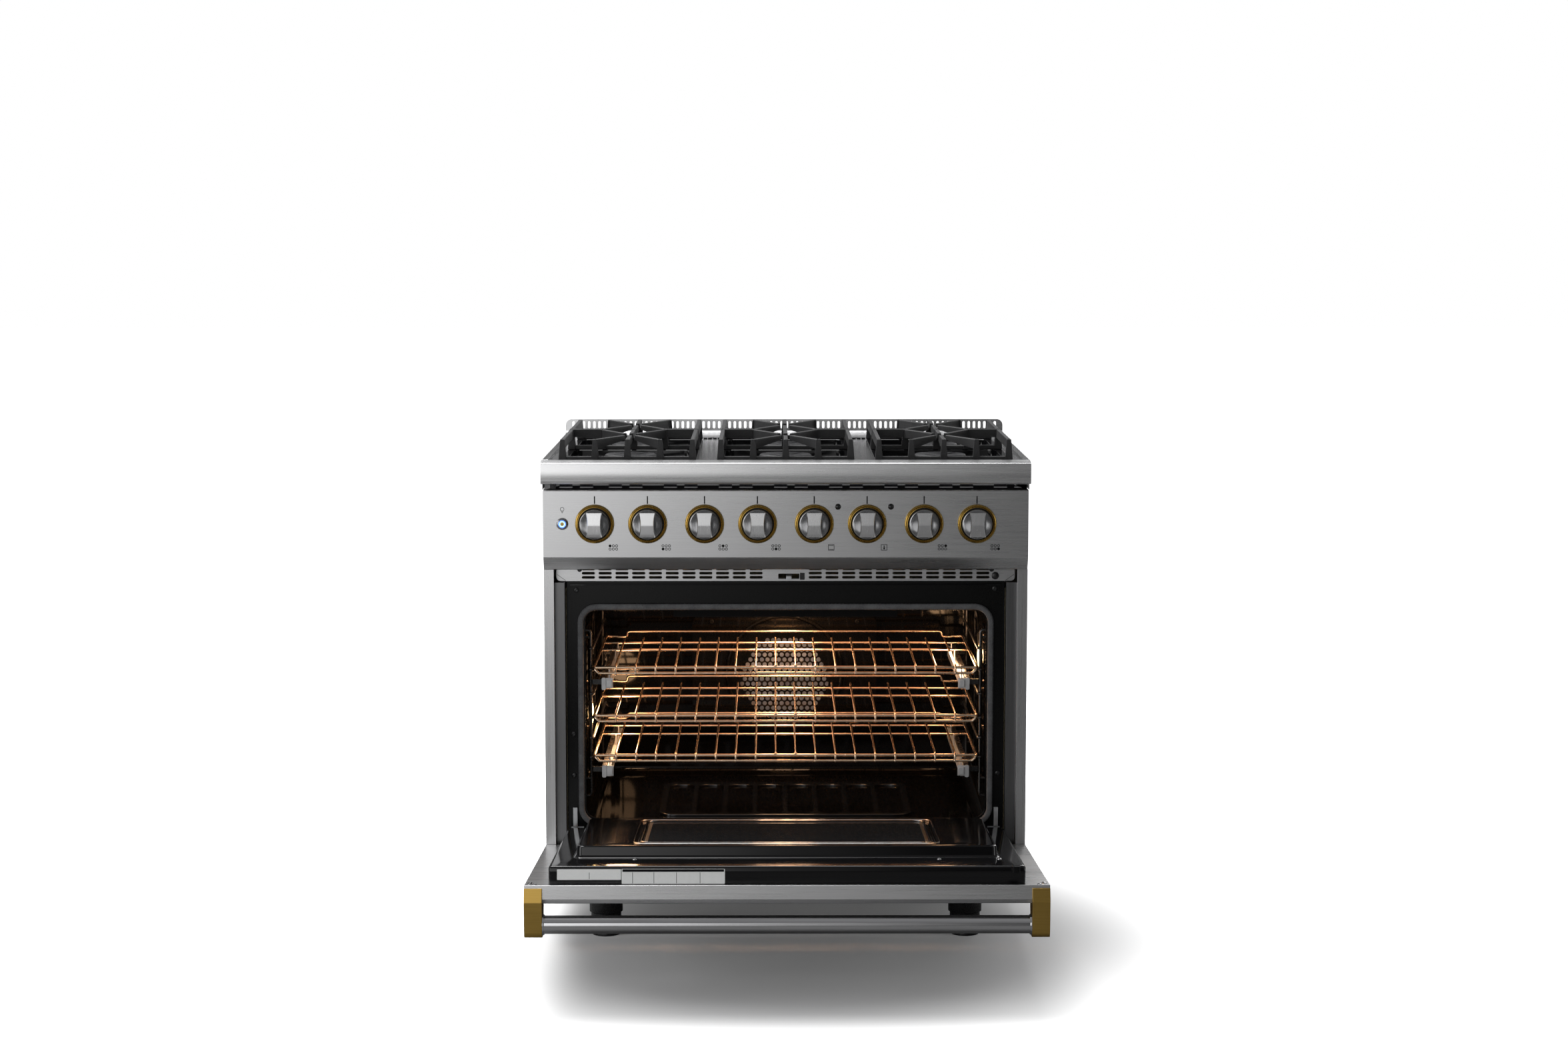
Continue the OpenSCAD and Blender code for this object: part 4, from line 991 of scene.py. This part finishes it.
def add_glides(z, body, tag):
    """The rack's own glide members, with folded ends that hook over the front wires."""
    s = Shape()
    caps = Shape()
    for k in (-1, 1):
        s.plate([[(k * (335 + w), z + h) for w, h in GLIDE_CHANNEL]], 140, 553, xz())
        xa, xb = sorted((k * 330, k * 344))
        s.block(xa, xb, 553, 554.6, z - 40, z - 20)
        s.block(xa + 2, xb - 2, 554.6, 559.5, z - 37, z - 23)
        for d in (232, 327, 545):
            s.plate([[(d + a, z + h) for a, h in GLIDE_HOOK]], k * 336, k * 338, yz())
        x0, x1 = sorted((k * 343.7, k * 351.8))
        caps.plate([rrect(x0, x1, z - 42.8, z - 19.2, 3, 4)], 548, 556.5, xz())
    s.piece("glide_members_" + tag, glide_grey, body, slot="chrome_wire", bevel=0.5)
    caps.piece("glide_end_caps_" + tag, glide_grey, slot="black_plastic", bevel=0.6)


for z, node in zip(RACK_Z, ("rack_bottom", "rack_middle", "rack_top")):
    rack_shape(z).piece(node + "_wires", chrome_painted_warm_light, node, [node], smooth=60)
    if node != "rack_middle":
        add_glides(z, node, node[5:])

# ---------------------------------------------------------------- door
# Liner pan with rolled edges, raised plateau and a rimmed window, as rings of (inset, corner radius, depth)
PAN = (-414, 414, -8, 478)
PLATEAU = (-372, 372, 22, 386)
WINDOW = (-255, 255, 60, 338)
LINER = (
    (PAN, ((0, 6, 0.2), (0, 6, 27.5), (0.8, 6, 30.2), (2.8, 6, 31.7), (5.5, 6, 32))),
    (PLATEAU, ((-7, 20, 32), (-3.5, 17, 32.6), (-1.2, 15, 34.6), (0, 14, 38), (0.4, 13.5, 49.5),
               (1.4, 13, 52.4), (4, 12, 53.9), (7, 12, 54))),
    (WINDOW, ((-20, 26, 53.9), (-17, 24, 53.2), (-15, 22, 51.6), (-11, 20, 51.2), (-8.5, 18, 52.2),
              (-6, 16, 53.9), (-3.5, 14, 53.9), (-1.5, 12, 52.6), (-0.6, 11, 50.4), (-0.4, 11, 48.2))))
BEAD_W = 52.9


def within(area, inset, r):
    x0, x1, u0, u1 = area
    return rrect(x0 + inset, x1 - inset, u0 + inset, u1 - inset, r)


rings = [(within(area, inset, r), depth) for area, steps in LINER for inset, r, depth in steps]
Shape().loft(rings, door, cap0=False, cap1=False).piece(
    "porcelain_door_liner", porcelain, "door", ["door_liner"], solidify=1.6, smooth=40)
bead = Shape()
for inset in (-17.5, -4.6):
    bead.tube([(x, DOOR_D - BEAD_W, DOOR_Z + u) for x, u in within(WINDOW, inset, 22)], 1.3, 8, closed=True)
bead.piece("window_frame_beads", polished, "door", slot="black_porcelain", smooth=60)
Shape().plate([rrect(390, 404, 468, 486, 3, 4)], 20.5, 31.5, door).piece(
    "door_switch_striker", porcelain, "door", slot="black_porcelain", bevel=1.2)

# Panes, with a dotted frit band round the inner one
panes = Shape()
for x, u0, u1, w0, w1 in ((275, 82, 348, -31.3, -27), (285, 50, 350, 4, 8), (264, 52, 346, 47.9, 51.0)):
    panes.plate([rrect(-x, x, u0, u1, 4, 4)], w0, w1, door)
panes.piece("door_window_panes", dark_glass, "door", ["door_glass"])
DOTS = 84
dots = Shape()
for k in range(DOTS):
    x = -250 + k * 500 / (DOTS - 1)
    for row, r in enumerate((1.9, 1.5, 1.0)):
        for u in (66 + row * 5.0, 332 - row * 5.0):
            if row < 2 or k % 2 == 0:
                dots.plate([circle(x + (row % 2) * 3, u, r, 8)], 51.0, 51.08, door)
dots.plate([rrect(-255, 255, 57, 341, 8, 4), rrect(-249, 249, 63.5, 334.5, 6, 4)], 51.0, 51.06, door)
dots.piece("window_frit", frit, "door", slot="door_glass")

# Handle: polished bar between brass end brackets
BAR_U, BAR_W, BAR_R = 472, -71, 15.9
BRACKET_W = 31
bar_end = HALF_W - BRACKET_W
bar_axis = (0, DOOR_D - BAR_W, DOOR_Z + BAR_U)
Shape().lathe([(0, -bar_end), (BAR_R, -bar_end), (BAR_R, bar_end), (0, bar_end)], bar_axis, "x", 64).piece(
    "handle_tube", polished, "door", ["handle_bar"])
bracket = Shape()
line = [(488.1, -5.5), (491, -5.5), (494.9, -28), (495, -31), (488.6, -82), (487, -87), (483, -91),
        (480, -92), (464, -92), (460, -91), (456, -88), (453.6, -83), (446, -33.1), (488.1, -33.1)]
for x in (-HALF_W, HALF_W - BRACKET_W):
    bracket.plate([[(DOOR_D - w, DOOR_Z + u) for u, w in line]], x, x + BRACKET_W, yz())
bracket.piece("brass_end_brackets", bracket_brass, "door", ["handle_brackets"], bevel=1.6, segments=3)
COLLAR = [(0.1, 3), (1.6, 3), (2.0, 2), (2.0, 0.05), (0.1, 0.05)]
collars = Shape()
for s in (-1, 1):
    collars.lathe([(BAR_R + r, s * (bar_end - t)) for r, t in COLLAR], bar_axis, "x", 48, closed=True)
collars.piece("handle_collars", polished, "door", slot="stainless")

LOW_HEAD = [(0, 0), (4.4, 0), (4.4, 0.5), (3.4, 0.5), (3.0, 1.3), (1.6, 1.5), (1.4, 0.8), (0, 0.7)]
door_screws = Shape()
for x, u in [(s * x, u) for s in (-1, 1) for x, u in ((447, 462), (447, 473), (438, 479))]:
    door_screws.lathe([(r, DOOR_D - t) for r, t in LOW_HEAD], (x, 0, DOOR_Z + u), "d", 20)
door_screws.piece("door_margin_screws", polished, "door", slot="stainless")
liner_screws = Shape()
for x, u in ((-268, 402), (268, 402), (374, 402)):
    screw(liner_screws, x, DOOR_D - 32, DOOR_Z + u, 4.0, "d", -1)
liner_screws.piece("door_liner_screws", polished, "door", slot="galvanised_steel")


def edge(a, b, t):
    """The liner's top edge: along X, across its depth, outwards."""
    return door(a, PAN[3] + t, b)


# Blank labels on the edge of the liner that faces forward when the door is open
labels = Shape().plate([rrect(-399, -288, 8, 26.5, 1, 2)], 0.05, 0.2, edge)
labels.plate([rrect(-287, -108, 1, 27, 1, 2)], 0.05, 0.2, edge)
labels.piece("blank_labels", paper, "door", slot="control_plastic")
bands = Shape().plate([box(-285.5, -109.5, 22, 26.4)], 0.21, 0.3, edge)
for x, w in ((-343, 9.5), (-268, 2), (-231, 2), (-192, 2), (-151, 2)):
    bands.plate([box(x - 0.4, x + 0.4, w, 21)], 0.21, 0.27, edge)
bands.piece("label_bands", ink, "door", slot="black_plastic")

# ---------------------------------------------------------------- stage
def stage_sheet(name, mat_name, corners, face=(0, 1, 2, 3)):
    """A flat stage piece with an empty material."""
    mesh = bpy.data.meshes.new(name)
    mesh.from_pydata(corners, [], [face])
    obj = bpy.data.objects.new(name, mesh)
    bpy.context.scene.collection.objects.link(obj)
    mat = bpy.data.materials.new(mat_name)
    mat.use_nodes = True
    mat.node_tree.nodes.clear()
    mesh.materials.append(mat)
    return obj, mat.node_tree


# The floor glows white away from the range, and the glow fades out near the range as a painted shade round
# it; it throws back little light
S = 30.0
_, tree = stage_sheet("floor", "pale_floor", [(-S, -S, 0), (S, -S, 0), (S, S, 0), (-S, S, 0)])
coords = add(tree, "TexCoord").outputs["Object"]
spot = add(tree, "Mapping", {"Vector": coords, "Location": (-0.03, 0.05, 0)}).outputs[0]
away = add(tree, "VectorMath", {0: spot}, operation="LENGTH").outputs["Value"]
painted_shade_falloff = add(tree, "MapRange", {0: away, "From Min": 0.42, "From Max": 0.95, "To Min": 0.05, "To Max": 1.0},
           interpolation_type="SMOOTHSTEP").outputs[0]
glow_with_painted_shade = add(tree, "Emission", {"Strength": painted_shade_falloff}).outputs[0]
white = add(tree, "BsdfDiffuse", {"Color": (0.9, 0.9, 0.9, 1)}).outputs[0]
dim = add(tree, "BsdfDiffuse", {"Color": (0.2, 0.2, 0.2, 1)}).outputs[0]
shown = add(tree, "AddShader", {0: white, 1: glow_with_painted_shade}).outputs[0]
seen = add(tree, "LightPath").outputs["Is Camera Ray"]
add(tree, "OutputMaterial", {"Surface": add(tree, "MixShader", {0: seen, 1: dim, 2: shown}).outputs[0]})

# A wide soft card in front, brighter at the left, shapes the steel's gradient
HALF, CARD_Y = 3.5, -4.2
card, tree = stage_sheet("front_card", "card_glow", [
    (-HALF, CARD_Y, 0.02), (HALF, CARD_Y, 0.02), (HALF, CARD_Y, 2.4), (-HALF, CARD_Y, 2.4)], (3, 2, 1, 0))
card.visible_camera = False
card.visible_shadow = False
coords = add(tree, "TexCoord").outputs["Object"]
across = add(tree, "SeparateXYZ", {0: coords}).outputs[0]
along = add(tree, "MapRange", {0: across, "From Min": -HALF, "From Max": HALF}).outputs[0]
levels = ((0.0, 1.0), (0.36, 0.82), (0.5, 0.2), (0.62, 0.03), (1.0, 0.01))
tint = stops(add(tree, "ValToRGB", {0: along}), *((at, (level,) * 3) for at, level in levels))
glow = add(tree, "Emission", {"Color": tint, "Strength": 2.3}).outputs[0]
add(tree, "OutputMaterial", {"Surface": glow})

# The world is white to the camera, and grey and brighter overhead to everything else
world = bpy.data.worlds.new("studio")
bpy.context.scene.world = world
world.use_nodes = True
tree = world.node_tree
rise = add(tree, "SeparateXYZ", {0: add(tree, "TexCoord").outputs["Generated"]}).outputs[2]
sky = stops(add(tree, "ValToRGB", {0: rise}), (0.0, (0.16, 0.16, 0.16)), (0.9, (0.75, 0.75, 0.76)))
lit = tree.nodes["Background"]
tree.links.new(sky, lit.inputs["Color"])
lit.inputs["Strength"].default_value = 0.42
white = add(tree, "Background", {"Color": (1, 1, 1, 1), "Strength": 1.0}).outputs[0]
seen = add(tree, "LightPath").outputs["Is Camera Ray"]
mixed = add(tree, "MixShader", {0: seen, 1: lit.outputs[0], 2: white}).outputs[0]
tree.links.new(mixed, tree.nodes["World Output"].inputs["Surface"])


def lamp(name, kind, location, watts, colour):
    light = bpy.data.lights.new(name, kind)
    light.energy = watts
    light.color = colour
    obj = bpy.data.objects.new(name, light)
    obj.location = location
    bpy.context.scene.collection.objects.link(obj)
    return obj


def area(name, location, aim, size, watts, colour=(1, 1, 1)):
    """A rectangular soft light, unseen by the camera."""
    obj = lamp(name, "AREA", location, watts, colour)
    obj.data.size = size[0]
    if size[1]:
        obj.data.shape = "RECTANGLE"
        obj.data.size_y = size[1]
    obj.rotation_euler = (Vector(aim) - Vector(location)).to_track_quat("-Z", "Y").to_euler()
    obj.visible_camera = False


area("top_softbox", (-0.3, 0.5, 3.0), (0, 0, 0.6), (2.0, 1.4), 75)
area("key_softbox", (-1.3, 1.3, 3.0), (0, -0.1, 0.3), (1.6, 1.3), 60)
area("left_card", (-3.0, -1.6, 1.0), (0, -0.1, 0.6), (1.4, 1.8), 26)
area("right_card", (3.4, -0.6, 1.0), (0, 0.1, 0.6), (1.2, 1.8), 12)
area("back_card", (1.6, 3.2, 1.4), (0, 0.1, 0.5), (1.6, 1.6), 22)
area("fan_glow", place(0, 113, FAN_Z), place(0, 60, FAN_Z), (0.18, 0), 0.006, (1.0, 0.6, 0.38))
area("oven_wide_glow", place(0, 360, CAV_Z1 - 12), place(0, 360, 300), (0.62, 0.3), 0.95, (1.0, 0.5, 0.25))
area("oven_centre_glow", place(0, 400, CAV_Z1 - 14), place(0, 400, 300), (0.12, 0.22), 1.9, (1.0, 0.6, 0.36))

# Each oven lamp shines from in front of its lens
OFF_WALL = 60
(_, left_d, left_z), (_, right_d, right_z) = WALL_LAMPS
for name, at, watts in (("roof_lamp_light", (0, ROOF_LAMP_D, CAV_Z1 - 26), 1.6),
                        ("left_lamp_light", (-CAV_W + OFF_WALL, left_d, left_z), 1.1),
                        ("right_lamp_light", (CAV_W - OFF_WALL, right_d, right_z), 1.1)):
    lamp(name, "POINT", place(*at), watts, (1.0, 0.58, 0.3)).data.shadow_soft_size = 0.03

# The camera stands where one fitted to the photograph's straight edges does
LENS = 65.61
CAMERA_X, CAMERA_BACK, CAMERA_Z = -0.0278, 5.956, 1.377
TILT, TURN = 83.882, -0.263
camera = bpy.data.cameras.new("camera")
camera.sensor_width = 36
camera.lens = LENS
camera.clip_end = 100
camera_obj = bpy.data.objects.new("camera", camera)
camera_obj.location = (CAMERA_X, WALL_Y - CAMERA_BACK, CAMERA_Z)
camera_obj.rotation_euler = (math.radians(TILT), 0, math.radians(TURN))
bpy.context.scene.collection.objects.link(camera_obj)
bpy.context.scene.camera = camera_obj
bpy.context.scene.view_settings.view_transform = "Standard"
